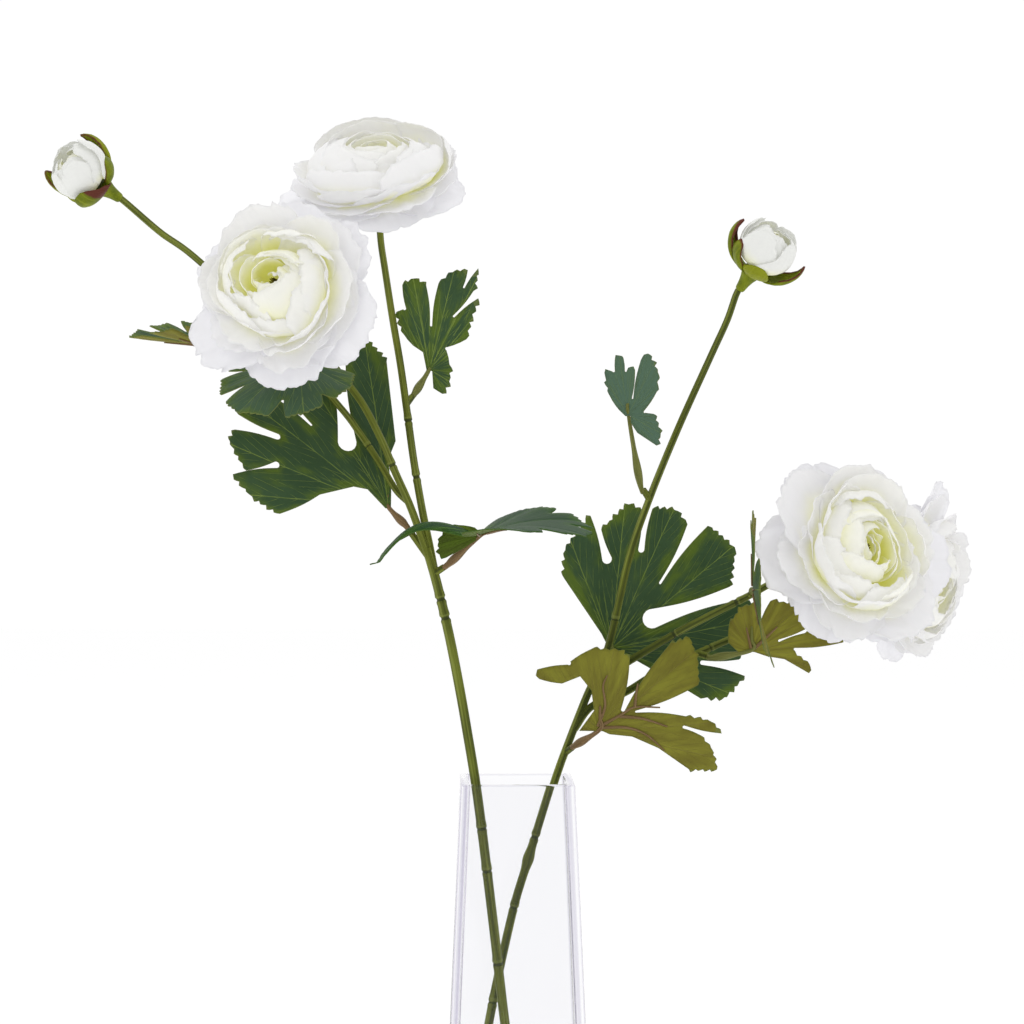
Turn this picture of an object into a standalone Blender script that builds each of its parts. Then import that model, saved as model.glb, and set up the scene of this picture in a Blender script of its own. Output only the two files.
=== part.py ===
"""Two faux ranunculus sprays standing in a tall, tapered, square clear vase.

Sizes are in millimetres and are scaled to metres where a mesh is made.
The origin is the centre of the vase's underside, +Z is up and the front is -Y.
"""

import math
import random

import bmesh
import bpy
from mathutils import Vector, geometry

MM = 0.001
CLEAR = 0.3  # the gap between two pieces that touch
FLAT_ANGLE = math.radians(0.5)  # faces closer to one plane than this become one face

# The vase: a hollow square block that widens towards its foot
VASE_HEIGHT = 250.0
VASE_RIM_WIDTH = 54.5
VASE_FOOT_WIDTH = 76.0
VASE_WALL = 4.2
VASE_FLOOR = 12.0
VASE_EDGE = 0.7
VASE_TURN = 1.3  # degrees about +Z

# Stems, and the moulded collars along them
MAIN_RADIUS = 2.3
FORK_RADIUS = 1.9  # of a branch where it leaves the main stem
BRANCH_RADIUS = 1.6
COLLAR_SWELL = 1.16
COLLAR_HALF_LENGTH = 1.3
COLLAR_ROOM = 5.0  # no plain ring of the tube lies this near to a collar
STEM_STEP = 34.0
STEM_END = 6.5  # the straight stretch under a flower
NUB_RADIUS = 1.5
PETIOLE_RADIUS = 1.45
PETIOLE_TIP_RADIUS = 0.7
PETIOLE_REACH = 12.0  # how far it runs on under its leaf
MAIN_SIDES = 8
BRANCH_SIDES = 6
PETIOLE_SIDES = 5

# The seat under a flower, and the body that its petals grow from
SEAT_HEIGHT = 9.0
SEAT_PROFILE = [(2.1, -SEAT_HEIGHT), (3.4, -5.5), (4.8, -2.6), (5.0, -1.6), (4.4, 0.0)]
SEAT_BAND = 2  # the ring of the profile's faces that the sepals grow from
BLOOM_CORE = [(4.2, CLEAR), (9.0, 1.4), (9.6, 5.0), (7.4, 9.2), (3.8, 10.2)]
BLOOM_EYE = [(1.4, 10.2 + CLEAR), (1.9, 11.4), (1.6, 13.6)]
BUD_CORE = [(4.2, CLEAR), (7.6, 2.6), (9.6, 8.0), (9.6, 13.0), (6.5, 18.5), (3.0, 20.0)]
CORE_SIDES = 12
EYE_SIDES = 8

LEAF_THICKNESS = 0.7
LEAF_GRID = 13.0
LEAF_LENGTH = 60.0  # of a leaf of size 1, for its arch and its waves
STALK_WIDTH = 2.6  # where the blade leaves its stalk
TOOTH_PITCH = 9.0
TOOTH_DEPTH = 2.0
WIDE_NOTCH = 2.5  # from this width a notch's foot has more corners
TOOTH_TIP = 0.62  # where a tooth's point lies along its pitch
PETAL_THICKNESS = 0.8
SEPAL_THICKNESS = 0.9
PETAL_SHOULDER = 0.62  # the share of its length at which a petal reaches its full width

# A petal is an arc from its root to its tip, wrapped round the flower's axis.
# lean and tip are angles from that axis, in degrees.
# overlap lays each petal's one edge over its neighbour, like the slats of a fan.
BLOOM_INNER = dict(length=12.0, lean=32.0, tip=-45.0, half_width=6.6, root_radius=5.6,
                   root_height=7.4, cup=0.0, overlap=1.0, root_width=0.5, round_end=0.20)
BLOOM_OUTER = dict(length=42.0, lean=76.0, tip=98.0, half_width=24.0, root_radius=5.6,
                   root_height=2.4, cup=0.02, overlap=1.5, root_width=0.10, round_end=0.22)
# Each ring of a bloom: how many petals, and how far it is from the innermost to the outermost
BLOOM_RINGS = ((3, 0.0), (4, 0.45), (5, 0.75), (6, 1.0))

BUD_PETAL = dict(length=30.0, lean=84.0, tip=-60.0, half_width=11.0, root_radius=3.6,
                 root_height=1.9, cup=0.0, overlap=1.1, root_width=0.2, round_end=0.22)
BUD_RINGS = ((5, 1.0),)

BLOOM_SEPAL = dict(length=15.0, lean=97.0, tip=128.0, half_width=5.5, root_radius=3.4,
                   root_height=-2.0, cup=0.05, overlap=0.0, root_width=0.35, round_end=0.0)
BUD_SEPAL = dict(length=21.0, lean=97.0, tip=14.0, half_width=7.6, root_radius=3.4,
                 root_height=-1.6, cup=0.06, overlap=0.0, root_width=0.35, round_end=0.0)
SEPALS = 5
SEPAL_TAPER = (1.0, 0.85, 0.3)  # the share of its width that each cross-section keeps

# seat is where the flower's own body starts, and axis is the way that it faces
BLOOMS = {
    "bloom_left_front": dict(seat=(-106.5, -63.0, 482.8), axis=(-0.34, -0.88, 0.34),
                             turn=12, seed=3, droop=4),
    "bloom_left_top": dict(seat=(-67.5, 8.0, 533.5), axis=(-0.08, -0.44, 0.89),
                           turn=40, seed=8, droop=16),
    "bloom_right_front": dict(seat=(158.8, -12.5, 357.4), axis=(0.42, -0.83, 0.36),
                              turn=0, seed=5, droop=6),
    "bloom_right_back": dict(seat=(193.6, 51.3, 344.7), axis=(0.87, -0.44, -0.22),
                             turn=25, seed=11, droop=8),
}
BUDS = {
    "bud_left": dict(seat=(-198.3, -12.9, 535.2), axis=(-0.70, -0.50, 0.50), turn=20, seed=2),
    "bud_right": dict(seat=(113.8, 5.5, 495.3), axis=(0.50, -0.42, 0.76), turn=55, seed=6),
}

# Stem routes run from the foot upwards, and a branch starts inside the stem that it leaves.
# Each flowering route runs on, straight, to its flower's seat.
# radius is at the foot and at the top, and collars are distances from the foot.
STEMS = {
    "stem_left": {
        "main": dict(
            route=[(8.5, 5.0, 12.8), (1.5, -1.3, 73.0), (-6.3, -7.5, 136.5),
                   (-11.5, -12.5, 183.6), (-18.4, -19.2, 242.1), (-23.8, -22.5, 276.8),
                   (-27.8, -25.0, 299.9), (-32.3, -27.0, 322.9), (-37.7, -28.5, 345.8),
                   (-42.5, -29.3, 363.0)],
            radius=(MAIN_RADIUS, MAIN_RADIUS),
            collars=(45.0, 98.0, 151.0, 197.0, 218.0, 322.0, 331.0)),
        "bloom_left_top": dict(
            route=[(-37.7, -28.5, 345.8), (-41.0, -28.5, 362.9), (-44.8, -27.0, 381.3),
                   (-48.7, -24.5, 403.9), (-51.9, -20.5, 426.5), (-55.2, -15.5, 449.3),
                   (-59.3, -8.0, 472.2), (-63.2, 4.0, 495.4), (-65.2, 11.0, 507.5)],
            radius=(FORK_RADIUS, BRANCH_RADIUS),
            collars=(52.0, 79.0)),
        "bloom_left_front": dict(
            route=[(-40.0, -29.0, 354.0), (-49.6, -31.0, 381.0), (-57.1, -31.0, 398.3),
                   (-63.9, -30.0, 414.1), (-73.0, -28.0, 431.3), (-84.4, -26.0, 446.4),
                   (-91.5, -25.5, 456.5), (-97.0, -29.0, 467.0), (-100.2, -38.0, 475.0)],
            radius=(FORK_RADIUS, BRANCH_RADIUS),
            collars=(52.0,)),
        "bud_left": dict(
            route=[(-51.0, -31.0, 384.5), (-57.3, -26.0, 390.5), (-65.7, -20.0, 403.9),
                   (-75.1, -14.0, 417.4), (-85.1, -9.0, 430.2), (-119.0, 0.0, 468.0),
                   (-153.5, 1.0, 500.2), (-170.7, 1.0, 512.8)],
            radius=(BRANCH_RADIUS, BRANCH_RADIUS),
            collars=(36.0,)),
    },
    "stem_right": {
        "bud_right": dict(
            route=[(-30.3, 2.0, 12.8), (-23.0, 4.5, 73.0), (-12.6, 8.5, 134.2),
                   (-2.4, 13.5, 180.1), (4.6, 16.3, 203.2), (11.9, 18.6, 226.3),
                   (19.4, 20.4, 249.4), (24.3, 21.5, 262.9), (33.9, 22.0, 287.5),
                   (44.4, 21.0, 311.7), (54.5, 19.0, 355.1), (63.9, 18.0, 383.2),
                   (78.0, 16.0, 418.2), (93.6, 15.0, 453.0), (101.5, 13.8, 470.5)],
            radius=(MAIN_RADIUS, 1.7),
            collars=(40.0, 86.0, 128.0, 183.0, 218.0, 325.0)),
        "bloom_right_front": dict(
            route=[(36.0, 22.0, 293.0), (45.9, 20.0, 300.1), (55.4, 17.0, 306.1),
                   (77.2, 10.0, 319.7), (92.3, 6.0, 328.1), (112.1, 4.0, 338.3),
                   (123.6, 5.5, 344.4), (139.0, 7.0, 349.5)],
            radius=(FORK_RADIUS, BRANCH_RADIUS),
            collars=(50.0, 84.0)),
        "bloom_right_back": dict(
            route=[(28.0, 21.8, 272.0), (36.5, 22.5, 283.0), (52.7, 24.0, 289.7),
                   (66.3, 26.0, 297.8), (85.7, 30.0, 307.1), (96.5, 33.0, 311.7),
                   (119.5, 40.5, 321.5), (150.0, 54.0, 338.0), (166.0, 59.5, 345.5)],
            radius=(FORK_RADIUS, BRANCH_RADIUS),
            collars=(48.0, 80.0)),
    },
}

# A leaf's outline, seen flat with its stalk at the origin and its length along +Y.
# Each lobe is a crown, as (angle, reach) corners from left to right, and the notch that
# follows it, as (angle, depth, gap). Angles are in degrees, clockwise from +Y.
FAN_LEAF = dict(
    left=[(-100, 9)],
    lobes=[
        ([(-90, 35), (-66, 44)], (-58, 26, 2.0)),
        ([(-53, 44), (-30, 51)], (-25, 20, 4.0)),
        ([(-18, 52), (0, 58), (17, 53)], (24, 20, 4.0)),
        ([(31, 50), (52, 45)], (58, 26, 2.0)),
        ([(66, 44), (90, 35)], None),
    ],
    right=[(100, 9)],
)
LEAF_SHAPES = {
    "fan": FAN_LEAF,
    "left_flat": dict(
        left=FAN_LEAF["left"],
        lobes=[
            *FAN_LEAF["lobes"][:4],
            ([(66, 44), (84, 34)], (104, 12, 2.0)),
            ([(139, 47), (145, 58), (151, 45)], None),
        ],
        right=[(152, 22), (146, 7)],
    ),
    "left_large": dict(
        left=[(-78, 12), (-87, 32)],
        lobes=[
            ([(-97, 54), (-89, 68), (-82, 78)], (-72, 55, 3.2)),
            ([(-79.5, 72), (-71.5, 83), (-67, 82)], (-60, 62, 3.2)),
            ([(-61.5, 82), (-55, 86), (-48, 80)], (-44, 53, 1.2)),
            ([(-41, 80), (-31, 84), (-22, 76)], (-36, 33, 9.0)),
            ([(-14.5, 82), (-6.5, 87), (-0.6, 75)], None),
        ],
        right=[(5.8, 33), (0, 24), (10, 8)],
    ),
    "right_large": dict(
        left=[(-37, 8), (-35, 37)],
        lobes=[
            ([(-35, 39), (-26, 50), (-10, 62)], (-3, 39, 4.5)),
            ([(-6, 55), (5.8, 67), (11.5, 65)], (16.5, 46, 3.0)),
            ([(15.5, 67), (24, 70), (31.5, 67)], (37, 37, 1.2)),
            ([(38.6, 72), (52, 74), (63, 62)], (50, 19, 9.0)),
            ([(69.5, 63), (74, 72), (95, 60)], (99, 42, 2.0)),
            ([(101.5, 64), (113, 58), (119, 47)], None),
        ],
        right=[(118, 27), (116, 9)],
    ),
    "left_upper": dict(
        left=[(-20, 9), (-34, 14)],
        lobes=[
            ([(-36, 21), (-29.5, 32)], (-22, 31, 1.5)),
            ([(-17.5, 43), (-9.5, 45), (-2, 41)], (2.2, 21, 1.0)),
            ([(6, 42), (13.5, 49), (21, 52)], (22.5, 43, 0.8)),
            ([(25.5, 55), (29, 44)], (24, 28, 1.0)),
            ([(34, 42), (39.7, 30), (50, 23)], (36, 13, 1.5)),
            ([(75, 10), (120, 11), (152, 13)], None),
        ],
        right=[(168, 9)],
    ),
    "right_upper": dict(
        left=[(-60, 5)],
        lobes=[
            ([(-43, 13), (-32, 20), (-26, 25)], (-18, 22, 1.2)),
            ([(-12, 30), (-4.8, 28)], (-3, 21, 1.0)),
            ([(0, 23), (9, 22)], (16, 8, 0.8)),
            ([(13.8, 27), (19, 31), (37, 25), (54, 18)], (84, 8, 1.2)),
            ([(90, 13), (120, 19), (137, 21)], None),
        ],
        right=[(152, 10), (160, 4)],
    ),
    "right_low": dict(
        left=[(-93, 10), (-17, 10), (-12, 20), (-20, 28), (-39, 29)],
        lobes=[
            ([(-50, 38), (-46, 42)], (-24, 35, 2.0)),
            ([(-6, 40), (13, 40), (22, 38)], (50, 14, 2.0)),
            ([(39, 53), (44, 62), (54, 58), (66, 52)], (63, 19, 1.0)),
            ([(82, 42), (87, 54), (93, 59)], (89, 40, 1.5)),
            ([(94, 48), (101, 55), (111, 61), (116, 48)], None),
        ],
        right=[(109, 30), (103, 16), (115, 5)],
    ),
    "right_side": dict(
        left=[(-100, 6), (-70, 12)],
        lobes=[
            ([(-40, 17), (-12, 22), (6, 23)], (14, 14, 1.5)),
            ([(21, 26), (38, 29), (57, 34), (69, 31)], (71, 14, 1.2)),
            ([(73, 28), (75, 42), (86, 46)], (89, 21, 1.2)),
            ([(97, 23), (104, 30), (112, 31)], None),
        ],
        right=[(105, 17), (110, 8)],
    ),
}

# stem is a point on the centre line that carries the leaf, nub the end of the stem's short
# peg, palm the blade's root. axis runs along the blade and face is the side that shines.
# arch, in degrees, rolls the blade back along its length, and fold lifts both its sides.
LEAVES = {
    "leaf_left_large": dict(
        shape="left_large", size=1.0, arch=14, fold=0.16, wave=1.6,
        stem=(-40.6, -29.0, 357.1), nub=(-51.0, -26.0, 371.3), palm=(-60.2, -20.0, 381.5),
        axis=(0.0, 0.30, 1.0), face=(0.1, -1.0, 0.30)),
    "leaf_left_front": dict(
        shape="fan", size=0.86, arch=24, fold=-0.12, wave=1.4,
        stem=(-92.0, -25.7, 457.2), nub=(-92.3, -31.6, 455.4), palm=(-98.5, -43.5, 448.6),
        axis=(-0.48, -0.72, -0.34), face=(-0.12, -0.42, 0.90)),
    "leaf_left_upper": dict(
        shape="left_upper", size=1.0, arch=12, fold=0.06, wave=1.0,
        stem=(-52.6, -19.6, 430.5), nub=(-49.8, -15.6, 434.2), palm=(-41.7, -4.0, 446.9),
        axis=(0.0, 0.12, 1.0), face=(0.1, -1.0, 0.12)),
    "leaf_left_side": dict(
        shape="fan", size=0.62, arch=-6, fold=0.42, wave=1.2,
        stem=(-121.0, 0.2, 469.9), nub=(-125.9, -4.0, 468.6), palm=(-147.0, -10.0, 458.0),
        axis=(-1.0, -0.12, 0.02), face=(0.04, -0.06, 0.99)),
    "leaf_left_flat": dict(
        shape="left_flat", size=0.95, arch=42, fold=0.10, wave=1.6,
        stem=(-39.0, -28.7, 350.8), nub=(-34.4, -32.2, 354.0), palm=(-18.5, -41.0, 369.5),
        axis=(0.90, -0.30, 0.32), face=(-0.28, -0.06, 0.95)),
    "leaf_right_large": dict(
        shape="right_large", size=1.06, arch=-10, fold=-0.06, wave=1.6,
        stem=(40.3, 21.3, 300.2), nub=(41.4, 27.3, 301.0), palm=(46.7, 36.0, 310.6),
        axis=(0.0, 0.10, 1.0), face=(0.13, -1.0, 0.10)),
    "leaf_right_low": dict(
        shape="right_low", size=1.0, arch=12, fold=-0.14, wave=2.2,
        stem=(24.1, 21.8, 260.9), nub=(27.0, 16.6, 263.6), palm=(40.2, 4.0, 273.3),
        axis=(0.0, -0.16, 1.0), face=(0.0, -1.0, -0.16)),
    "leaf_right_upper": dict(
        shape="right_upper", size=1.0, arch=10, fold=0.18, wave=1.0,
        stem=(64.3, 18.0, 384.2), nub=(61.3, 15.2, 388.8), palm=(53.6, 6.0, 425.1),
        axis=(0.0, 0.14, 1.0), face=(-0.25, -1.0, 0.14)),
    "leaf_right_edge": dict(
        shape="fan", size=0.92, arch=-4, fold=-0.03, wave=1.8,
        stem=(112.6, 4.0, 338.6), nub=(113.0, -1.4, 340.0), palm=(113.3, -11.0, 342.0),
        axis=(-0.058, -0.99, 0.06), face=(0.99, -0.05, 0.137)),
    "leaf_right_side": dict(
        shape="right_side", size=1.0, arch=8, fold=-0.12, wave=1.6,
        stem=(88.6, 30.8, 308.4), nub=(93.2, 27.0, 307.2), palm=(112.5, 22.5, 310.1),
        axis=(0.0, -0.05, 1.0), face=(0.1, -1.0, -0.05)),
}
UNDERSIDE_LEAVES = ("leaf_right_low", "leaf_right_side")  # these show their olive side


def finish(name, colour, roughness, alpha=1.0):
    """A Principled material. colour is linear RGB."""
    made = bpy.data.materials.new(name)
    made.use_nodes = True
    shader = made.node_tree.nodes["Principled BSDF"]
    shader.inputs["Base Color"].default_value = (*colour, 1.0)
    shader.inputs["Roughness"].default_value = roughness
    shader.inputs["Metallic"].default_value = 0.0
    shader.inputs["Alpha"].default_value = alpha
    if alpha < 1.0:
        shader.inputs["Transmission Weight"].default_value = 1.0
        shader.inputs["IOR"].default_value = 1.49
    return made


def solid_object(name, points, faces, material, collection=None, smooth=True):
    """One mesh object from points in millimetres."""
    mesh = bpy.data.meshes.new(name)
    mesh.from_pydata([Vector(p) * MM for p in points], [], faces)
    mesh.materials.append(material)
    mesh.update()
    if smooth:
        mesh.shade_smooth()
    made = bpy.data.objects.new(name, mesh)
    (collection or bpy.context.scene.collection).objects.link(made)
    return made


def largest_skin(mesh):
    """Keeps the mesh's outer surface: sealed hollows are filled and loose scraps dropped."""
    work = bmesh.new()
    work.from_mesh(mesh)
    unseen = set(work.faces)
    skins = []
    while unseen:
        skin = [unseen.pop()]
        for face in skin:
            for edge in face.edges:
                for other in edge.link_faces:
                    if other in unseen:
                        unseen.remove(other)
                        skin.append(other)
        skins.append(skin)

    def size_of(skin):
        return sum(f.calc_area() for f in skin)

    skins.sort(key=size_of)
    for skin in skins[:-1]:
        bmesh.ops.delete(work, geom=skin, context="FACES")
    loose = [v for v in work.verts if not v.link_faces]
    bmesh.ops.delete(work, geom=loose, context="VERTS")
    bmesh.ops.dissolve_limit(work, angle_limit=FLAT_ANGLE, verts=work.verts, edges=work.edges)
    bmesh.ops.triangulate(work, faces=work.faces)
    work.to_mesh(mesh)
    work.free()


def fuse(body, extras):
    """Joins the extras to the body with one union, then removes them."""
    group = bpy.data.collections.new(body.name + "_extras")
    bpy.context.scene.collection.children.link(group)
    for extra in extras:
        bpy.context.scene.collection.objects.unlink(extra)
        group.objects.link(extra)
    join = body.modifiers.new("join", "BOOLEAN")
    join.operation = "UNION"
    join.operand_type = "COLLECTION"
    join.collection = group
    bpy.context.view_layer.update()
    graph = bpy.context.evaluated_depsgraph_get()
    joined = bpy.data.meshes.new_from_object(body.evaluated_get(graph))
    body.modifiers.clear()
    body.data = joined
    joined.name = body.name
    largest_skin(joined)
    for extra in extras:
        bpy.data.objects.remove(extra)
    bpy.data.collections.remove(group)


def smooth_curve(route, per_span=8):
    """Points of a smooth curve that passes through every point of the route."""
    knots = [Vector(p) for p in route]
    knots = [2 * knots[0] - knots[1], *knots, 2 * knots[-1] - knots[-2]]
    line = []
    for i in range(1, len(knots) - 2):
        a, b, c, d = knots[i - 1:i + 3]
        for step in range(per_span):
            t = step / per_span
            line.append(0.5 * (2 * b + (c - a) * t + (2 * a - 5 * b + 4 * c - d) * t ** 2
                               + (3 * b - a - 3 * c + d) * t ** 3))
    return [*line, knots[-2]]


def lengths_along(line):
    total = [0.0]
    for a, b in zip(line, line[1:]):
        total.append(total[-1] + (b - a).length)
    return total


def point_at(line, lengths, distance):
    """The point that lies this far along the line."""
    for i in range(1, len(line)):
        if distance <= lengths[i] or i == len(line) - 1:
            share = (distance - lengths[i - 1]) / (lengths[i] - lengths[i - 1])
            return line[i - 1].lerp(line[i], min(1.0, share))
    return line[-1]


def tube(centres, radii, sides):
    """Points and triangles of a closed round tube, its rings square to the line."""
    tangents = [(centres[min(i + 1, len(centres) - 1)] - centres[max(i - 1, 0)]).normalized()
                for i in range(len(centres))]
    side = tangents[0].orthogonal().normalized()
    points, faces = [], []
    for centre, tangent, radius in zip(centres, tangents, radii):
        side = (side - tangent * side.dot(tangent)).normalized()
        up = tangent.cross(side)
        for k in range(sides):
            angle = 2 * math.pi * k / sides
            points.append(centre + radius * (math.cos(angle) * side + math.sin(angle) * up))
    for ring in range(len(centres) - 1):
        for k in range(sides):
            a, b = ring * sides + k, ring * sides + (k + 1) % sides
            faces += [(a, b, b + sides), (a, b + sides, a + sides)]
    last = (len(centres) - 1) * sides
    faces.append(tuple(reversed(range(sides))))
    faces.append(tuple(range(last, last + sides)))
    return points, faces


def turned(profile, sides, place=None):
    """A closed turned solid. profile is (radius, height) from the bottom to the top."""
    points, faces = [], []
    for radius, height in profile:
        for k in range(sides):
            angle = 2 * math.pi * k / sides
            points.append(Vector((radius * math.cos(angle), radius * math.sin(angle), height)))
    for ring in range(len(profile) - 1):
        for k in range(sides):
            a, b = ring * sides + k, ring * sides + (k + 1) % sides
            faces += [(a, b, b + sides), (a, b + sides, a + sides)]
    last = (len(profile) - 1) * sides
    faces.append(tuple(reversed(range(sides))))
    faces.append(tuple(range(last, last + sides)))
    if place:
        points = [place(p) for p in points]
    return points, faces


def thickened(points, triangles, thickness):
    """A blade: the surface moved half the thickness each way, and its rim closed."""
    normals = [Vector() for _ in points]
    for a, b, c in triangles:
        normal = (points[b] - points[a]).cross(points[c] - points[a])
        for corner in (a, b, c):
            normals[corner] += normal
    for normal in normals:
        normal.normalize()
    half, count = thickness / 2, len(points)
    both = [p + n * half for p, n in zip(points, normals)]
    both += [p - n * half for p, n in zip(points, normals)]
    faces = [tuple(t) for t in triangles]
    faces += [(a + count, c + count, b + count) for a, b, c in triangles]
    open_edges = {}
    for a, b, c in triangles:
        for start, end in ((a, b), (b, c), (c, a)):
            if open_edges.pop((end, start), None) is None:
                open_edges[(start, end)] = True
    for start, end in open_edges:
        faces += [(end, start, start + count), (end, start + count, end + count)]
    return both, faces


def placer(seat, axis, turn):
    """Moves a point from a flower's own frame, with +Z along its axis, to the part's frame."""
    rotation = Vector(axis).normalized().to_track_quat("Z", "Y").to_matrix()
    angle = math.radians(turn)
    origin = Vector(seat)

    def place(p):
        x = p[0] * math.cos(angle) - p[1] * math.sin(angle)
        y = p[0] * math.sin(angle) + p[1] * math.cos(angle)
        return origin + rotation @ Vector((x, y, p[2]))

    return place


def petal_blade(rule, azimuth, across, along, thickness, place):
    """One petal or sepal, wrapped round the flower's axis at this azimuth."""
    lean, tip = math.radians(rule["lean"]), math.radians(rule["tip"])
    bend = tip - lean
    points = []
    for j in range(along + 1):
        v = j / along
        spread = math.sin(min(v / PETAL_SHOULDER, 1.0) * math.pi / 2) ** 1.4
        half = rule["half_width"] * (rule["root_width"] + (1 - rule["root_width"]) * spread)
        for i in range(across + 1):
            u = 2 * i / across - 1
            share = v * (1 - rule["round_end"] * abs(u) ** 2.2)
            angle = lean + bend * share
            arc = rule["length"] / bend
            radius = rule["root_radius"] + arc * (math.cos(lean) - math.cos(angle))
            height = rule["root_height"] + arc * (math.sin(angle) - math.sin(lean))
            wrap = max(radius, 0.55 * half)
            phi = u * half / wrap
            lift = rule["cup"] * half * u * u + rule["overlap"] * u * min(1.0, v / 0.3)
            bend_radius = wrap - lift * math.cos(angle)
            outward = radius - wrap + bend_radius * math.cos(phi)
            sideways = bend_radius * math.sin(phi)
            x = outward * math.cos(azimuth) - sideways * math.sin(azimuth)
            y = outward * math.sin(azimuth) + sideways * math.cos(azimuth)
            points.append(place((x, y, height + lift * math.sin(angle))))
    row = across + 1
    triangles = []
    for j in range(along):
        for i in range(across):
            a = j * row + i
            triangles += [(a, a + 1, a + 1 + row), (a, a + 1 + row, a + row)]
    return thickened(points, triangles, thickness)


def blended(inner, outer, share):
    return {key: inner[key] + (outer[key] - inner[key]) * share for key in inner}


def flower_head(name, spec, rings, inner, outer, core, material):
    """A core with its rings of petals, fused into one solid."""
    place = placer(spec["seat"], spec["axis"], spec["turn"])
    draw = random.Random(spec["seed"])
    body = solid_object(name, *turned(core, CORE_SIDES, place), material)
    petals = []
    for ring, (count, share) in enumerate(rings):
        for k in range(count):
            rule = blended(inner, outer, share)
            rule["length"] *= draw.uniform(0.97, 1.03)
            rule["tip"] += draw.uniform(-2.5, 2.5) + spec.get("droop", 0) * share ** 3
            azimuth = 2 * math.pi * (k + 0.5 * ring + draw.uniform(-0.04, 0.04)) / count
            along = 3 if share > 0 else 2
            points, faces = petal_blade(rule, azimuth, 3, along, PETAL_THICKNESS, place)
            petals.append(solid_object(f"{name}_petal_{ring}_{k}", points, faces, material))
    fuse(body, petals)


def calyx(name, spec, sepal, material):
    """The flared seat that a flower stands on, with sepals grown from its band."""
    place = placer(spec["seat"], spec["axis"], spec["turn"])
    draw = random.Random(spec["seed"] + 50)
    sides = 2 * SEPALS
    points, faces = turned(SEAT_PROFILE, sides)
    for k in range(SEPALS):
        rule = dict(sepal)
        rule["length"] *= draw.uniform(0.9, 1.1)
        rule["tip"] += draw.uniform(0, 14)
        azimuth = 2 * math.pi * (2 * k + 0.5) / sides
        low = SEAT_BAND * sides + 2 * k
        root = [low, low + 1, low + 1 + sides, low + sides]
        faces = [f for f in faces if not set(f) <= set(root)]
        blade, _ = petal_blade(rule, azimuth, 1, len(SEPAL_TAPER), SEPAL_THICKNESS, Vector)
        half = len(blade) // 2
        for j, width in enumerate(SEPAL_TAPER, start=1):
            # one cross-section of the sepal: its outer face's two corners, then its inner face's
            first = len(points)
            for left, right in ((2 * j, 2 * j + 1), (half + 2 * j + 1, half + 2 * j)):
                middle = (blade[left] + blade[right]) / 2
                points += [middle.lerp(blade[left], width), middle.lerp(blade[right], width)]
            section = [first, first + 1, first + 2, first + 3]
            for i in range(4):
                nxt = (i + 1) % 4
                faces += [(root[i], root[nxt], section[nxt]), (root[i], section[nxt], section[i])]
            root = section
        faces += [(root[0], root[1], root[2]), (root[0], root[2], root[3])]
    return solid_object(name, [place(p) for p in points], faces, material)


def stem_end(spec):
    """Where a branch stops, just short of the seat that it carries, and a point below it."""
    axis = Vector(spec["axis"]).normalized()
    top = Vector(spec["seat"]) - axis * (SEAT_HEIGHT + 1.5 * CLEAR)
    return [top - axis * STEM_END, top]


def stem_tube(route, radius, collars, sides):
    """A tapered tube along a route, with a moulded collar at each of the given distances."""
    line = smooth_curve(route)
    lengths = lengths_along(line)
    stations = {0.0: 1.0, lengths[-1] - STEM_END: 1.0, lengths[-1]: 1.0}
    steps = max(1, round(lengths[-1] / STEM_STEP))
    for k in range(1, steps):
        at = lengths[-1] * k / steps
        if all(abs(at - collar) > COLLAR_ROOM for collar in collars):
            stations[at] = 1.0
    for collar in collars:
        stations[collar - COLLAR_HALF_LENGTH] = 1.0
        stations[collar] = COLLAR_SWELL
        stations[collar + COLLAR_HALF_LENGTH] = 1.0
    centres, radii = [], []
    for at in sorted(stations):
        centres.append(point_at(line, lengths, at))
        radii.append(stations[at] * (radius[0] + (radius[1] - radius[0]) * at / lengths[-1]))
    return tube(centres, radii, sides)


def branching_stem(name, branches, flowers, nubs, material):
    """The main stem of a spray with its branches and the pegs that carry its leaves."""
    body, extras = None, []
    for part, spec in branches.items():
        route = spec["route"] + (stem_end(flowers[part]) if part in flowers else [])
        sides = BRANCH_SIDES if body else MAIN_SIDES
        shape = stem_tube(route, spec["radius"], spec["collars"], sides)
        if body:
            extras.append(solid_object(f"{name}_{part}", *shape, material))
        else:
            body = solid_object(name, *shape, material)
    for leaf in nubs:
        start, end = Vector(leaf["stem"]), Vector(leaf["nub"])
        points, faces = tube([start, end], [NUB_RADIUS * 1.1, NUB_RADIUS], BRANCH_SIDES)
        extras.append(solid_object(f"{name}_nub", points, faces, material))
    fuse(body, extras)


def polar(angle, reach):
    return Vector((reach * math.sin(math.radians(angle)), reach * math.cos(math.radians(angle))))


def toothed(a, b):
    """Points from a to b along a saw-toothed edge. The leaf lies on the right of that way."""
    length = (b - a).length
    count = max(1, round(length / TOOTH_PITCH))
    along = (b - a).normalized()
    outward = Vector((-along.y, along.x))
    points = []
    for k in range(count):
        start = a + (b - a) * (k / count)
        points.append(start)
        points.append(start + along * (length / count * TOOTH_TIP) + outward * TOOTH_DEPTH)
    return points


def notch(before, after, angle, depth, gap):
    """The rounded foot of a cut between two lobes, which opens from before to after."""
    foot = polar(angle, depth)
    mouth = (before + after) / 2
    inward = (foot - mouth).normalized()
    across = Vector((-inward.y, inward.x))
    if across.dot(before - after) < 0:
        across = -across
    turns = (1, 0, -1) if gap < WIDE_NOTCH else (1, 0.6, 0, -0.6, -1)
    half = gap / 2
    return [foot + across * half * t + inward * half * (math.sqrt(1 - t * t) - 1) for t in turns]


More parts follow.
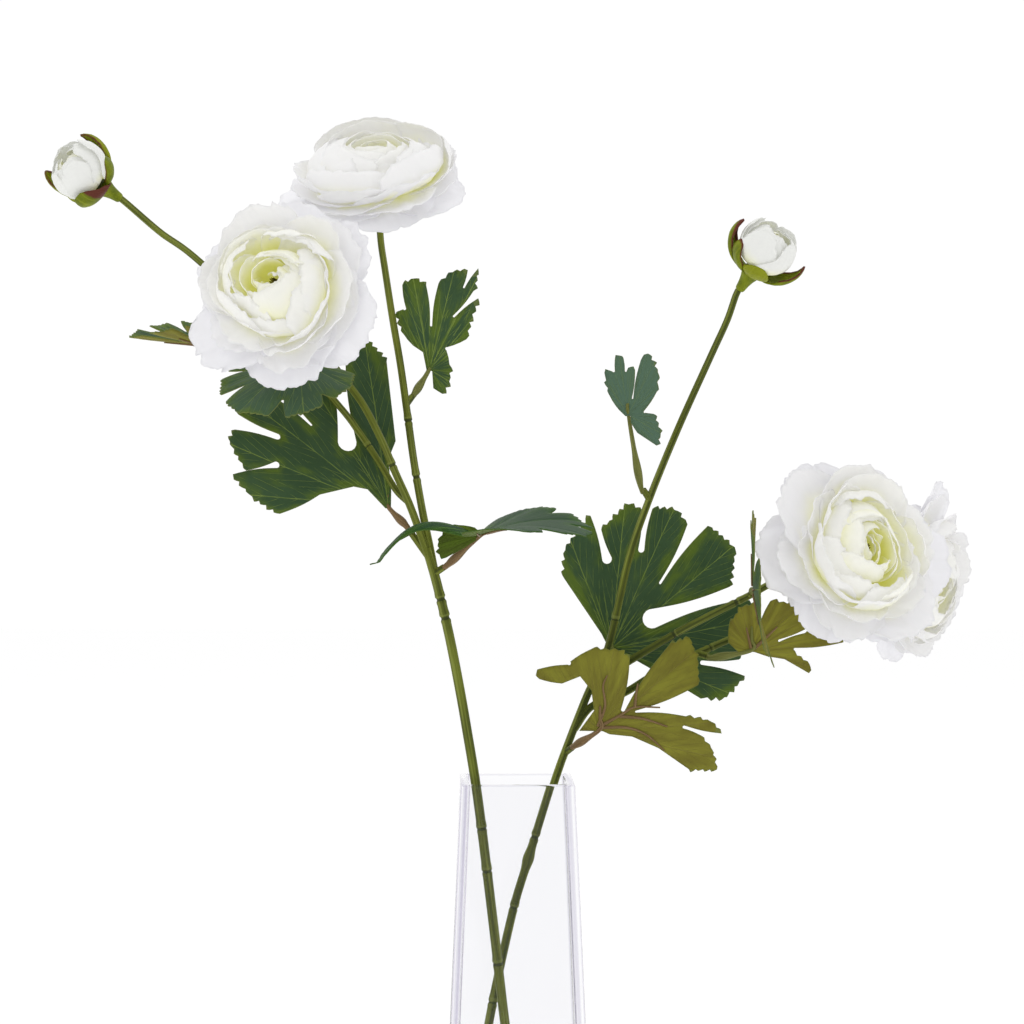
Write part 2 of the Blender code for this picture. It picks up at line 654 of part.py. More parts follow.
def leaf_outline(shape, size):
    """The leaf's edge as 2-D points, clockwise from the left of its stalk."""
    edge = [Vector((-STALK_WIDTH / 2, -0.5))] + [polar(a, r) for a, r in shape["left"]]
    for i, (crown, cut) in enumerate(shape["lobes"]):
        corners = [polar(a, r) for a, r in crown]
        for a, b in zip(corners, corners[1:]):
            edge += toothed(a, b)
        edge.append(corners[-1])
        if cut:
            edge += notch(corners[-1], polar(*shape["lobes"][i + 1][0][0]), *cut)
    edge += [polar(a, r) for a, r in shape["right"]] + [Vector((STALK_WIDTH / 2, -0.5))]
    return [p * size for p in edge]


def inside(point, edge):
    """Whether a 2-D point lies inside the outline and clear of its edge."""
    crossings = 0
    for a, b in zip(edge, edge[1:] + edge[:1]):
        if (a.y > point.y) != (b.y > point.y):
            if point.x < a.x + (point.y - a.y) / (b.y - a.y) * (b.x - a.x):
                crossings += 1
        nearest, share = geometry.intersect_point_line(point, a, b)
        nearest = a.lerp(b, min(1.0, max(0.0, share)))
        if (nearest - point).length < LEAF_GRID * 0.4:
            return False
    return crossings % 2 == 1


def leaf_shaper(leaf):
    """Maps a flat leaf point, and a height over it, to the part's frame."""
    palm = Vector(leaf["palm"])
    axis = Vector(leaf["axis"]).normalized()
    face = Vector(leaf["face"])
    face = (face - axis * face.dot(axis)).normalized()
    across = axis.cross(face)
    length = LEAF_LENGTH * leaf["size"]
    roll = math.radians(leaf["arch"]) / length

    def shape(x, y, lift=0.0):
        reach = math.hypot(x, y) / length
        height = lift + leaf["fold"] * (math.sqrt(x * x + 16.0) - 4.0)
        height += leaf["wave"] * reach ** 2 * math.sin(5 * math.atan2(x, y + 8.0) + leaf["size"])
        bent = max(y, 0.0) * roll
        along = min(y, 0.0) + math.sin(bent) / roll + height * math.sin(bent)
        rise = height * math.cos(bent) - (1 - math.cos(bent)) / roll
        return palm + across * x + axis * along + face * rise

    return shape


def leaf_solid(name, leaf, material):
    """A thin lobed blade, with its stalk running on as a rib under it."""
    edge = leaf_outline(LEAF_SHAPES[leaf["shape"]], leaf["size"])
    points = list(edge)
    rows = math.ceil(max(p.length for p in edge) / (LEAF_GRID * 0.87))
    for j in range(-rows, rows + 1):
        for i in range(-rows, rows + 1):
            point = Vector(((i + 0.5 * (j % 2)) * LEAF_GRID, j * LEAF_GRID * 0.87))
            if inside(point, edge):
                points.append(point)
    ring = list(range(len(edge)))
    flat, _, triangles, _, _, _ = geometry.delaunay_2d_cdt(points, [], [ring], 1, 1e-6)
    shape = leaf_shaper(leaf)
    up = [shape(p.x, p.y) for p in flat]
    triangles = [tuple(t) for t in triangles]
    blade = solid_object(name, *thickened(up, triangles, LEAF_THICKNESS), material)
    nub, palm = Vector(leaf["nub"]), Vector(leaf["palm"])
    outward = (nub - Vector(leaf["stem"])).normalized()
    sunk = -LEAF_THICKNESS / 2
    route = [nub + outward * (CLEAR + 0.1), nub + outward * 3.0, shape(0, 0.5, sunk),
             shape(0, PETIOLE_REACH / 2, sunk), shape(0, PETIOLE_REACH, sunk)]
    taper = (PETIOLE_TIP_RADIUS - PETIOLE_RADIUS) / (len(route) - 1)
    radii = [PETIOLE_RADIUS + taper * k for k in range(len(route))]
    stalk = solid_object(name + "_stalk", *tube(route, radii, PETIOLE_SIDES), material)
    fuse(blade, [stalk])


def vase(material):
    """The hollow square vase: one tapered block, opened from its rim."""
    def corners(width, height):
        half = width / 2
        return [(x * half, y * half, height) for x, y in ((-1, -1), (1, -1), (1, 1), (-1, 1))]

    slope = (VASE_FOOT_WIDTH - VASE_RIM_WIDTH) / VASE_HEIGHT
    inner_rim = VASE_RIM_WIDTH - 2 * VASE_WALL
    inner_floor = VASE_FOOT_WIDTH - slope * VASE_FLOOR - 2 * VASE_WALL
    points = (corners(VASE_FOOT_WIDTH, 0) + corners(VASE_RIM_WIDTH, VASE_HEIGHT)
              + corners(inner_rim, VASE_HEIGHT) + corners(inner_floor, VASE_FLOOR))
    faces = [(3, 2, 1, 0), (12, 13, 14, 15)]
    for low in (0, 4, 8):
        for k in range(4):
            nxt = (k + 1) % 4
            faces.append((low + k, low + nxt, low + 4 + nxt, low + 4 + k))
    made = solid_object("vase", points, faces, material, smooth=False)
    made.rotation_euler.z = math.radians(VASE_TURN)
    bevel = made.modifiers.new("edges", "BEVEL")
    bevel.width = VASE_EDGE * MM
    bevel.segments = 1
    bevel.limit_method = "ANGLE"
    bevel.angle_limit = math.radians(40)


def main():
    for old in list(bpy.data.objects):
        bpy.data.objects.remove(old)
    glass = finish("clear_vase", (0.93, 0.94, 0.96), 0.03, alpha=0.35)
    white = finish("white_petal", (0.90, 0.90, 0.83), 0.62)
    green = finish("stem_green", (0.10, 0.16, 0.03), 0.45)
    leaf_green = finish("leaf_green", (0.035, 0.10, 0.035), 0.55)
    olive = finish("leaf_underside_olive", (0.17, 0.18, 0.03), 0.60)
    sepal_green = finish("sepal_green", (0.15, 0.24, 0.03), 0.50)
    eye_green = finish("eye_green", (0.20, 0.20, 0.02), 0.60)

    vase(glass)
    flowers = {**BLOOMS, **BUDS}
    for name, branches in STEMS.items():
        side = name.split("_")[1]
        nubs = [leaf for key, leaf in LEAVES.items() if key.startswith(f"leaf_{side}")]
        branching_stem(name, branches, flowers, nubs, green)
    for name, spec in BLOOMS.items():
        flower_head(name, spec, BLOOM_RINGS, BLOOM_INNER, BLOOM_OUTER, BLOOM_CORE, white)
        place = placer(spec["seat"], spec["axis"], spec["turn"])
        solid_object(name.replace("bloom", "eye"), *turned(BLOOM_EYE, EYE_SIDES, place), eye_green)
        calyx(name.replace("bloom", "calyx"), spec, BLOOM_SEPAL, sepal_green)
    for name, spec in BUDS.items():
        flower_head(name, spec, BUD_RINGS, BUD_PETAL, BUD_PETAL, BUD_CORE, white)
        calyx(name.replace("bud", "bud_calyx"), spec, BUD_SEPAL, sepal_green)
    for name, leaf in LEAVES.items():
        leaf_solid(name, leaf, olive if name in UNDERSIDE_LEAVES else leaf_green)


main()
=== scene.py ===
import math
import random

import bmesh
import bpy
from mathutils import Matrix, Vector, geometry


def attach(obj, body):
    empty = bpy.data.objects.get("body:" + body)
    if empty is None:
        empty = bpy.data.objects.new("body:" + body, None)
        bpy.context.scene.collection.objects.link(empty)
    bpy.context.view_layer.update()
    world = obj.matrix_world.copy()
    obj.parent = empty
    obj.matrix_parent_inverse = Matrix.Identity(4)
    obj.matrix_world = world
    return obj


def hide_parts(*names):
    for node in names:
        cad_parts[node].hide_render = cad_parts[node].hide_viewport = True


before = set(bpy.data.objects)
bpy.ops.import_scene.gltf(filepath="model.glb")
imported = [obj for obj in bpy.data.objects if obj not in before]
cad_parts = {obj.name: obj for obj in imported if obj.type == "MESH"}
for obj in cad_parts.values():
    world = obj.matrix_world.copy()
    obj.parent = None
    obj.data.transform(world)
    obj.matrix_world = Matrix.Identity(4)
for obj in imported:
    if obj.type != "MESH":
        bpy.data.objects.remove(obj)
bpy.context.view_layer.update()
mm = 0.001  # sizes below are in millimetres
degree = math.pi / 180
fullTurn = 2 * math.pi
square = ((-1, -1), (1, -1), (1, 1), (-1, 1))
print("stage: frame loaded")


# Node wiring: a Board holds a node tree, and a Wire is one output of a node in it

class Wire:
    def __init__(self, board, socket):
        self.board = board
        self.socket = socket

    def other(self, name):  # another output of the same node
        return Wire(self.board, self.socket.node.outputs[name])

    def __abs__(self):
        return self.board.math("ABSOLUTE", self)


def addOperator(sign, operation):  # with its reflected form, so that 1 - mask works
    setattr(Wire, f"__{sign}__", lambda wire, value: wire.board.math(operation, wire, value))
    setattr(Wire, f"__r{sign}__", lambda wire, value: wire.board.math(operation, value, wire))


operators = {"add": "ADD", "sub": "SUBTRACT", "mul": "MULTIPLY", "truediv": "DIVIDE", "pow": "POWER"}
for operatorSign, mathName in operators.items():
    addOperator(operatorSign, mathName)


class Board:
    def __init__(self, tree):
        self.tree = tree

    def node(self, kind, sockets=None, out=0, stops=(), **settings):  # the settings come before the sockets
        made = self.tree.nodes.new(kind)
        for name, value in settings.items():
            setattr(made, name, value)
        for k, (position, colour) in enumerate(stops):
            made.color_ramp.elements[k].position = position
            made.color_ramp.elements[k].color = (*colour, 1.0)
        for key, value in (sockets or {}).items():
            if isinstance(value, Wire):
                self.tree.links.new(value.socket, made.inputs[key])
            else:
                made.inputs[key].default_value = value
        return Wire(self, made.outputs[out]) if made.outputs else made

    def math(self, operation, *values):
        return self.node("ShaderNodeMath", dict(enumerate(values)), operation=operation)

    def sin(self, value):
        return self.math("SINE", value)

    def cos(self, value):
        return self.math("COSINE", value)

    def low(self, a, b):
        return self.math("MINIMUM", a, b)

    def high(self, a, b):
        return self.math("MAXIMUM", a, b)

    def ramp(self, value, start, end, fromValue=0.0, toValue=1.0):  # a smooth step between two values
        return self.node("ShaderNodeMapRange", {0: value, 1: start, 2: end, 3: fromValue, 4: toValue},
                         interpolation_type="SMOOTHSTEP")

    def vector(self, x, y, z):
        return self.node("ShaderNodeCombineXYZ", {0: x, 1: y, 2: z})

    def apart(self, vector):  # its x, y and z
        x = self.node("ShaderNodeSeparateXYZ", {0: vector})
        return x, x.other("Y"), x.other("Z")

    def place(self):  # on the object, in metres
        return self.node("ShaderNodeTexCoord").other("Object")

    def noise(self, where, scale, detail=2.0, roughness=0.5):
        return self.node("ShaderNodeTexNoise",
                         {"Vector": where, "Scale": scale, "Detail": detail, "Roughness": roughness})

    def blend(self, share, a, b, kind="MIX"):  # of two colours
        a, b = ((*c, 1.0) if isinstance(c, tuple) else c for c in (a, b))
        return self.node("ShaderNodeMix", {0: share, 6: a, 7: b}, 2, data_type="RGBA", blend_type=kind)

    def coats(self, colour, *coats):  # laid over a colour one after the other, each as its share and colour
        for share, coat in coats:
            colour = self.blend(share, colour, coat)
        return colour

    def bump(self, strength, depth, height):
        return self.node("ShaderNodeBump", {"Strength": strength, "Distance": depth * mm, "Height": height})

    def read(self, *names):  # numbers that the mesh carries
        if self.tree.type == "GEOMETRY":
            return [self.node("GeometryNodeInputNamedAttribute", {"Name": name}) for name in names]
        return [self.node("ShaderNodeAttribute", out=2, attribute_name=name) for name in names]

    def store(self, shape, name, value, domain="POINT"):
        return self.node("GeometryNodeStoreNamedAttribute",
                         {"Geometry": shape, "Name": name, "Value": value}, data_type="FLOAT", domain=domain)


def newPaint(name, constants):  # a board for a new material
    paint = bpy.data.materials.new(name)
    paint.use_nodes = True
    b = Board(paint.node_tree)
    b.paint = paint
    b.shader = b.tree.nodes["Principled BSDF"]
    for socket, value in constants.items():
        b.shader.inputs[socket].default_value = value
    return b


def plug(b, wires):  # into the shader's sockets
    for name, wire in wires.items():
        b.tree.links.new(wire.socket, b.shader.inputs[name])
    return b.paint


def makeTree(name, defaults, build, keepsInput):  # a Geometry Nodes tree with named inputs
    tree = bpy.data.node_groups.new(name, "GeometryNodeTree")

    def addSocket(key, kind, way="INPUT"):
        return tree.interface.new_socket(key, in_out=way, socket_type="NodeSocket" + kind)

    addSocket("Geometry", "Geometry")
    for key, default in defaults.items():
        addSocket(key, "Int" if isinstance(default, int) else "Float").default_value = default
    addSocket("Material", "Material")
    addSocket("Geometry", "Geometry", "OUTPUT")
    b = Board(tree)
    given = b.node("NodeGroupInput")
    made = build(b, given, given.other)
    made = b.node("GeometryNodeSetShadeSmooth", {"Geometry": made})
    made = b.node("GeometryNodeRealizeInstances", {0: made})
    made = b.node("GeometryNodeSetMaterial", {"Geometry": made, "Material": given.other("Material")})
    if keepsInput:
        made = b.node("GeometryNodeJoinGeometry", {0: made})
        tree.links.new(given.socket, made.socket.node.inputs[0])
    b.node("NodeGroupOutput", {0: made})
    return tree


def addTree(made, tree, values):  # as a modifier, its inputs set by their identifiers
    step = made.modifiers.new(tree.name, "NODES")
    step.node_group = tree
    for item in tree.interface.items_tree:
        if item.name in values:
            value = values[item.name]
            step[item.identifier] = float(value) if item.socket_type == "NodeSocketFloat" else value


def table(columns, rows):  # gives each row's values their names
    return {key: dict(zip(columns.split(), row)) for key, row in rows.items()}


def newObject(name, data):
    made = bpy.data.objects.new(name, data)
    bpy.context.scene.collection.objects.link(made)
    return made


def newMesh(name, material, points, faces, unit=mm):
    mesh = bpy.data.meshes.new(name)
    mesh.from_pydata([Vector(p) * unit for p in points], [], faces)
    mesh.materials.append(material)
    mesh.update()
    mesh.shade_smooth()
    return mesh


def meshFrom(work, name, material):  # from a bmesh
    mesh = bpy.data.meshes.new(name)
    work.to_mesh(mesh)
    work.free()
    mesh.materials.append(material)
    mesh.shade_smooth()
    return mesh


def evaluated(made):  # the plain mesh that an object's modifiers make, in place of the object
    bpy.context.view_layer.update()
    graph = bpy.context.evaluated_depsgraph_get()
    mesh = bpy.data.meshes.new_from_object(made.evaluated_get(graph))
    bpy.data.objects.remove(made)
    return mesh


def setNumbers(mesh, name, values, domain="POINT"):
    mesh.attributes.new(name, "FLOAT", domain).data.foreach_set("value", values)


def finishPiece(name, meshes, slotName, node):  # one piece, which takes over from its CAD node
    parts = [newObject(f"{name}.{k}", mesh) for k, mesh in enumerate(meshes)]
    if len(parts) > 1:
        with bpy.context.temp_override(active_object=parts[0], selected_editable_objects=parts):
            bpy.ops.object.join()
    piece = parts[0]
    piece.name = name
    piece.data.name = name
    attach(piece, "root")
    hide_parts(node)


# Camera, light and floor

studio = {
    "target": (-2.2, 0, 378.7), "distance": 2000, "tilt": 2.5, "lens": 146.5,  # tilt above the horizon
    "worldFront": 0.72, "worldBehind": 1.02, "floorSize": 9000, "floorHeight": -0.2,
    "lamps": {  # place, size, watts
        "keyLight": ((-1100, -1800, 1900), 1500, 5.5),
        "fillLight": ((1700, -1500, 900), 1600, 1.5),
        "topLight": ((100, 300, 2300), 1600, 3.0),
    },
}


def makeStudio(s):
    target = Vector(s["target"]) * mm
    tilt = s["tilt"] * degree
    away = Vector((0, -math.cos(tilt), math.sin(tilt)))
    camera = bpy.data.cameras.new("camera")
    camera.lens = s["lens"]
    holder = newObject("camera", camera)
    holder.location = target + away * s["distance"] * mm
    holder.rotation_euler = away.to_track_quat("Z", "Y").to_euler()
    bpy.context.scene.camera = holder

    world = bpy.data.worlds.new("studioWorld")
    world.use_nodes = True
    bpy.context.scene.world = world
    b = Board(world.node_tree)
    direction = b.node("ShaderNodeTexCoord").other("Generated")
    glow = b.ramp(b.apart(direction)[1], -0.75, 0.15, s["worldFront"], s["worldBehind"])
    background = world.node_tree.nodes["Background"]
    background.inputs["Color"].default_value = (1.0, 1.0, 1.0, 1.0)
    world.node_tree.links.new(glow.socket, background.inputs["Strength"])

    for name, (place, size, watts) in s["lamps"].items():
        lamp = bpy.data.lights.new(name, "AREA")
        lamp.shape = "DISK"
        lamp.size = size * mm
        lamp.energy = watts
        stand = newObject(name, lamp)
        stand.location = Vector(place) * mm
        stand.rotation_euler = (stand.location - target).to_track_quat("Z", "Y").to_euler()

    paint = newPaint("studioFloor", {
        "Base Color": (0.9, 0.9, 0.9, 1.0), "Roughness": 0.9, "Specular IOR Level": 0.0,
        "Emission Color": (1.0, 1.0, 1.0, 1.0), "Emission Strength": 0.16}).paint
    half = s["floorSize"] / 2
    corners = [(x * half, y * half, s["floorHeight"]) for x, y in square]
    newObject("floor", newMesh("floor", paint, corners, [(0, 1, 2, 3)]))
    bpy.context.scene.view_settings.view_transform = "Standard"


makeStudio(studio)
print("stage: studio ready")


# Petals: a Geometry Nodes tree adds one ring of them, wrapped round the flower's axis

petalSockets = {  # lengths in millimetres, angles in degrees, turns in full turns
    "Petals": 5, "Length": 30.0, "Lean": 80.0, "Tip": 0.0, "Half Width": 12.0, "Root Radius": 5.0,
    "Root Height": 2.0, "Flat": 1.0, "Root Width": 0.2, "Round End": 0.2, "Notch": 0.05, "Cup": 0.0,
    "Lap": 1.0, "Taper": 0.0, "Ruffle": 0.6, "Ruffle Waves": 2.5, "Crumple": 0.8, "Edge Curl": 0.0,
    "Spread": 4.0, "Vary": 0.06, "Bias": 0.0, "Bias Turn": 0.0, "Turn": 0.0, "Layer": 0.0, "Seed": 1,
    "Across": 15, "Along": 15,
}
petalCut = {  # how wide its tears, slits, frills and folds are, and where it has its full width
    "tear": 5.5, "slit": 3.2, "frill": 4.5, "foldAcross": 11.0, "foldAlong": 13.0, "fullAt": 0.62}


def petalRing(b, _, ask):
    petals, halfWidth, seed = ask("Petals"), ask("Half Width"), ask("Seed")
    sheet = b.node("GeometryNodeMeshGrid", {0: 2.0, 1: 1.0, 2: ask("Across"), 3: ask("Along")})
    x, y, _ = b.apart(b.node("GeometryNodeInputPosition"))
    sheet = b.store(sheet, "across", x)
    sheet = b.store(sheet, "along", y + 0.5)
    roots = b.node("GeometryNodeMeshLine", {"Count": petals, "Offset": (0.0, 0.0, 0.0)})
    ring = b.node("GeometryNodeInstanceOnPoints", {"Points": roots, "Instance": sheet})
    ring = b.store(ring, "petal", b.node("GeometryNodeInputIndex"), "INSTANCE")
    ring = b.node("GeometryNodeRealizeInstances", {0: ring})
    u, v, petal = b.read("across", "along", "petal")

    def draw(lowest, highest, step):  # one random number for each petal
        return b.node("FunctionNodeRandomValue", {2: lowest, 3: highest, 7: petal, 8: seed + step}, 1,
                      data_type="FLOAT")

    def rough(x, y, z, detail, roughness=0.5, middle=0.5):  # noise about its middle
        return b.noise(b.vector(x, y, z), 1.0, detail, roughness) - middle

    tone = draw(0.0, 1.0, 0)
    turn = (petal + draw(-0.12, 0.12, 40)) * fullTurn / petals + ask("Turn") * fullTurn
    length = ask("Length") * (1.0 + ask("Vary") * draw(-1.0, 1.0, 10))
    lean = ask("Lean") * degree
    leaned = ask("Bias") * b.cos(turn - ask("Bias Turn") * fullTurn)
    bend = (ask("Tip") - ask("Lean") + ask("Spread") * draw(-1.0, 1.0, 20) + leaned) * degree
    grown = b.sin(b.low(v / petalCut["fullAt"], 1.0) * (math.pi / 2)) ** 1.4
    half = halfWidth * (1.0 + ask("Vary") * draw(-1.0, 1.0, 30))
    half = half * (ask("Root Width") + (1.0 - ask("Root Width")) * grown)
    half = half * (1.0 - ask("Taper") * b.ramp(v, 0.55, 1.05))
    own = tone * 90.0 + seed * 1.7
    across = u * halfWidth
    ragged = rough(across / petalCut["tear"], own, 0.0, 3.0, 0.62)
    slit = b.high(rough(across / petalCut["slit"], own, 7.0, 1.0, middle=0.63), 0.0)
    ripped = ask("Notch") * (2.2 * ragged - 3.4 * slit) * v ** 4.0
    share = v * (1.0 - ask("Round End") * abs(u) ** 2.4 + ripped)
    tip = lean + bend * share
    angle = tip + ask("Edge Curl") * degree * v ** 5.0
    arc = length / bend
    radius = ask("Root Radius") + arc * (b.cos(lean) - b.cos(tip))
    height = ask("Root Height") + ask("Flat") * arc * (b.sin(tip) - b.sin(lean))
    wrap = b.high(radius, half * 0.55)
    phi = u * half / wrap
    wave = b.sin(u * ask("Ruffle Waves") * math.pi + tone * 20.0) * (0.35 + 0.65 * abs(u))
    frill = rough(across / petalCut["frill"], own, v * 2.0, 2.0, 0.6)
    fold = rough(across / petalCut["foldAcross"], v * length / petalCut["foldAlong"], own, 2.0)
    lift = ask("Cup") * half * u * u + ask("Lap") * u * b.low(v / 0.3, 1.0)
    lift = lift + ask("Ruffle") * (wave * v ** 2.5 + frill * 2.4 * v ** 4.0)
    lift = lift + ask("Crumple") * fold * 3.0 * b.low(v * 2.0, 1.0)
    lift = lift + ask("Edge Curl") * 0.012 * length * v ** 6.0
    curve = wrap - lift * b.cos(angle)
    outward = radius - wrap + curve * b.cos(phi)
    sideways = curve * b.sin(phi)
    place = b.vector(outward * b.cos(turn) - sideways * b.sin(turn),
                     outward * b.sin(turn) + sideways * b.cos(turn),
                     height + lift * b.sin(angle))
    ring = b.node("GeometryNodeSetPosition", {"Geometry": ring, "Position": place})
    ring = b.store(ring, "tone", tone)
    return b.store(ring, "layer", ask("Layer"))


petalTree = makeTree("petalRing", petalSockets, petalRing, True)


def growPetals(name, rings, material, thickness):  # a mesh in the flower's own frame, in millimetres
    made = newObject(name, bpy.data.meshes.new(name))
    for ring in rings:
        addTree(made, petalTree, {**ring, "Material": material})
    skin = made.modifiers.new("cloth", "SOLIDIFY")
    skin.thickness = thickness
    skin.offset = 0.0
    return evaluated(made)


def flowerMatrix(flower):  # from the flower's own frame, in millimetres, to the part's, in metres
    turn = Matrix.Rotation(flower["turn"] * degree, 4, "Z")
    lean = Vector(flower["axis"]).normalized().to_track_quat("Z", "Y").to_matrix().to_4x4()
    return Matrix.Scale(mm, 4) @ Matrix.Translation(flower["seat"]) @ lean @ turn


def finishFlower(name, meshes, slotName, node, flower):
    for mesh in meshes:
        mesh.transform(flowerMatrix(flower))
    finishPiece(name, meshes, slotName, node)


def makePetalCloth():
    # The petals glow faintly in their own colour (Emission Strength 0.14): painted light that lifts the
    # shade in the cupped rings.
    b = newPaint("whitePetalCloth",
                 {"Roughness": 0.7, "Specular IOR Level": 0.12, "Emission Strength": 0.14})
    u, v, tone, layer = b.read("across", "along", "tone", "layer")
    fibre = b.noise(b.vector(u * 11.0, v * 0.8, tone * 37.0), 1.0, 4.0, 0.55)
    blotch = b.noise(b.vector(u * 1.6, v * 2.0, tone * 19.0), 1.0, 2.0)
    reach = v + (blotch - 0.5) * 0.3 + layer * 0.40
    lined = b.coats(
        (0.930, 0.930, 0.865),
        (layer, (0.845, 0.842, 0.880)),
        (b.ramp(layer, 1.05, 1.35), (0.790, 0.795, 0.775)),  # on the buds
        (b.ramp(reach, 1.12, 0.66) * 0.80, (0.90, 0.90, 0.52)),
        (b.ramp(reach, 0.86, 0.50) * 0.90, (0.76, 0.76, 0.16)),
        (b.ramp(v, 0.80, 0.45) * b.ramp(layer, 0.20, 0.05), (0.15, 0.12, 0.01)),
        (b.ramp(fibre, 0.52, 0.74) * 0.10, (0.74, 0.74, 0.74)))
    weave = b.noise(b.place(), 2600.0, 1.0)
    # Emission Color: the painted glow takes the petal's own colour, yellow-green deep in the heart.
    plug(b, {"Base Color": lined, "Normal": b.bump(0.22, 0.9, fibre + weave * 0.1), "Emission Color": lined})
    through = b.node("ShaderNodeBsdfTranslucent", {"Color": (0.97, 0.965, 0.88, 1.0)})
    both = b.node("ShaderNodeMixShader",
                  {0: b.high(0.45 - layer * 0.25, 0.12), 1: Wire(b, b.shader.outputs[0]), 2: through})
    b.tree.links.new(both.socket, b.tree.nodes["Material Output"].inputs["Surface"])
    return b.paint


def makeEyeCloth():
    b = newPaint("eyeOlive", {"Roughness": 0.7, "Specular IOR Level": 0.2})
    fleck = b.noise(b.place(), 900.0, 3.0)
    tint = b.node("ShaderNodeValToRGB", {0: fleck},
                  stops=((0.35, (0.045, 0.030, 0.004)), (0.60, (0.19, 0.17, 0.012))))
    return plug(b, {"Base Color": tint, "Normal": b.bump(0.5, 0.6, fleck)})


petalCloth = makePetalCloth()
eyeOlive = makeEyeCloth()

closedRings = [  # from the eye outwards: petals, root radius, curl radius, tip angle, root and rim heights
    (2, 3.4, 2.7, -93, 13.5, 18.5), (3, 2.2, 6.2, -54, 9.5, 20.6), (3, 3.0, 9.0, -48, 7.0, 21.2),
    (4, 3.4, 11.8, -50, 5.0, 21.4), (4, 3.8, 14.6, -50, 3.4, 21.2), (5, 4.2, 17.6, -46, 2.2, 20.6),
    (5, 4.6, 21.0, -34, 1.4, 18.8),
]
thickness = {"petal": 0.24, "sepal": 0.8}
ringColumns = ("Petals", "Length", "Lean", "Tip", "Half Width", "Root Radius", "Root Height")
openRings = [
    (5, 33, 92, 14, 23, 5, 0.8), (6, 35, 92, 42, 23, 5.2, 0.6), (6, 37.5, 91, 70, 24, 5.4, 0.6),
    (6, 40.5, 88, 94, 25, 5, 1.2),
]
heartPair = {"Taper": 0.8, "Round End": 0.34, "Half Width": 6.6, "Layer": 0.62, "Lap": 0.2, "Spread": 2}
pinch = {"near": 10.0, "depth": 0.72, "uneven": (0.085, 0.055), "bloomRadius": 42.0}
eyeTuft = {"points": 9, "turn": 2.4, "out": 1.0, "outStep": 0.08, "height": 15.2, "heightStep": 0.18,
           "length": 6.4, "root": 0.95, "tip": 0.25, "cupHeight": 10.0, "cup": (3.4, 1.9, 1.6)}
blooms = table("seat axis turn seed size droop closed bias biasTurn rise swell pinch ragged pale", {
    "left_front": ((-106.5, -63, 482.8), (-0.34, -0.88, 0.34), 12, 3, 1.04, 4, 0, 26, 0.36, 1, 1.04,
        (0.25, 0, 1), 1, 0),
    "left_top": ((-67.5, 8, 533.5), (-0.08, -0.44, 0.89), 40, 8, 1, 18, 11, 16, 0.046, 1.14, 1.3, (0, 1, 0),
        0.7, 0.5),
    "right_front": ((158.8, -12.5, 357.4), (0.42, -0.83, 0.36), 0, 5, 1.07, 6, 4, 26, 0.02, 1, 1.04,
        (1, 0, 0.2), 1, 0),
    "right_back": ((193.6, 51.3, 344.7), (0.87, -0.44, -0.22), 38, 11, 0.97, 8, 10, 14, 0.5, 1, 1.1,
        (0, 0, 1), 0.8, 0.4),
})


def closedRing(flower, petals, root, curl, tip, low, rise):  # petals that close over the eye
    wide = 1 + (flower["swell"] - 1) * min(1.0, curl / 14)
    root, curl, stretch = root * wide, curl * wide, flower["rise"]
    flat = stretch * (rise - low) / (curl * (1 - math.sin(tip * degree)))
    return {"Petals": petals, "Length": curl * ((90 - tip) * degree), "Lean": 90, "Tip": tip, "Flat": flat,
            "Half Width": 1.35 * math.pi * (root + curl) / petals, "Root Radius": root,
            "Root Height": low * stretch}


def pinchLine(flower):  # the direction, seen along the flower's axis, in which its heart is narrow
    across = flowerMatrix(flower).to_3x3().inverted() @ Vector(flower["pinch"])
    across.z = 0.0
    return across.normalized()


def bloomRingValues(flower):
    rings = [closedRing(flower, *ring) for ring in closedRings]
    rings += [dict(zip(ringColumns, ring)) for ring in openRings]
    ragged, pale = flower["ragged"], flower["pale"]
    values = []
    for k, ring in enumerate(rings, 1):
        layer = k / len(rings)  # 1 in the outermost ring
        middle = math.sin(math.pi * min(1.0, layer * 1.15))
        shut = flower["closed"] * layer ** 0.7 * (1 - layer ** 3)
        values.append({
            **ring, "Length": ring["Length"] * flower["size"],
            "Tip": ring["Tip"] + flower["droop"] * layer ** 4 - shut,
            "Half Width": ring["Half Width"] * (1.15 - 0.15 * ragged),
            "Root Width": 0.5 - 0.3 * layer, "Round End": 0.18 + 0.06 * layer,
            "Notch": (0.07 + 0.05 * layer) * ragged, "Taper": 0.30 * (1 - layer) * ragged,
            "Lap": 0.7 + 1.1 * layer, "Ruffle": (0.4 + 1.2 * layer ** 1.5) * ragged,
            "Ruffle Waves": 2.0 + layer, "Crumple": 0.45 + 1.1 * layer, "Edge Curl": 6.0 * layer ** 2,
            "Spread": (5.0 + 16.0 * middle) * ragged, "Vary": 0.05 + 0.08 * layer + 0.07 * middle * ragged,
            "Bias": flower["bias"] * middle, "Bias Turn": flower["biasTurn"],
            "Turn": 0.137 * k + 0.13 * flower["seed"], "Layer": pale + (1 - pale) * layer,
            "Seed": flower["seed"] * 100 + k,
            "Across": 21 + round(18 * layer), "Along": 19 + round(6 * layer),
        })
    across = pinchLine(flower)
    values[0].update({**heartPair, "Turn": math.atan2(across.y, across.x) / fullTurn})
    return values


def pinchHeart(mesh, flower):  # makes the nested rims less round, and the opening over the eye a slit
    across, seed = pinchLine(flower), flower["seed"]
    second, third = pinch["uneven"]
    for vertex in mesh.vertices:
        spot = vertex.co
        radius = math.hypot(spot.x, spot.y)
        angle = math.atan2(spot.y, spot.x)
        uneven = second * math.sin(2 * angle + seed) + third * math.sin(3 * angle + 2 * seed)
        uneven *= flower["ragged"] * math.sin(math.pi * min(1.0, radius / pinch["bloomRadius"]))
        spot.x *= 1 + uneven
        spot.y *= 1 + uneven
        near = max(0.0, 1.0 - radius / pinch["near"])
        spot -= across * (spot.dot(across) * near * pinch["depth"])


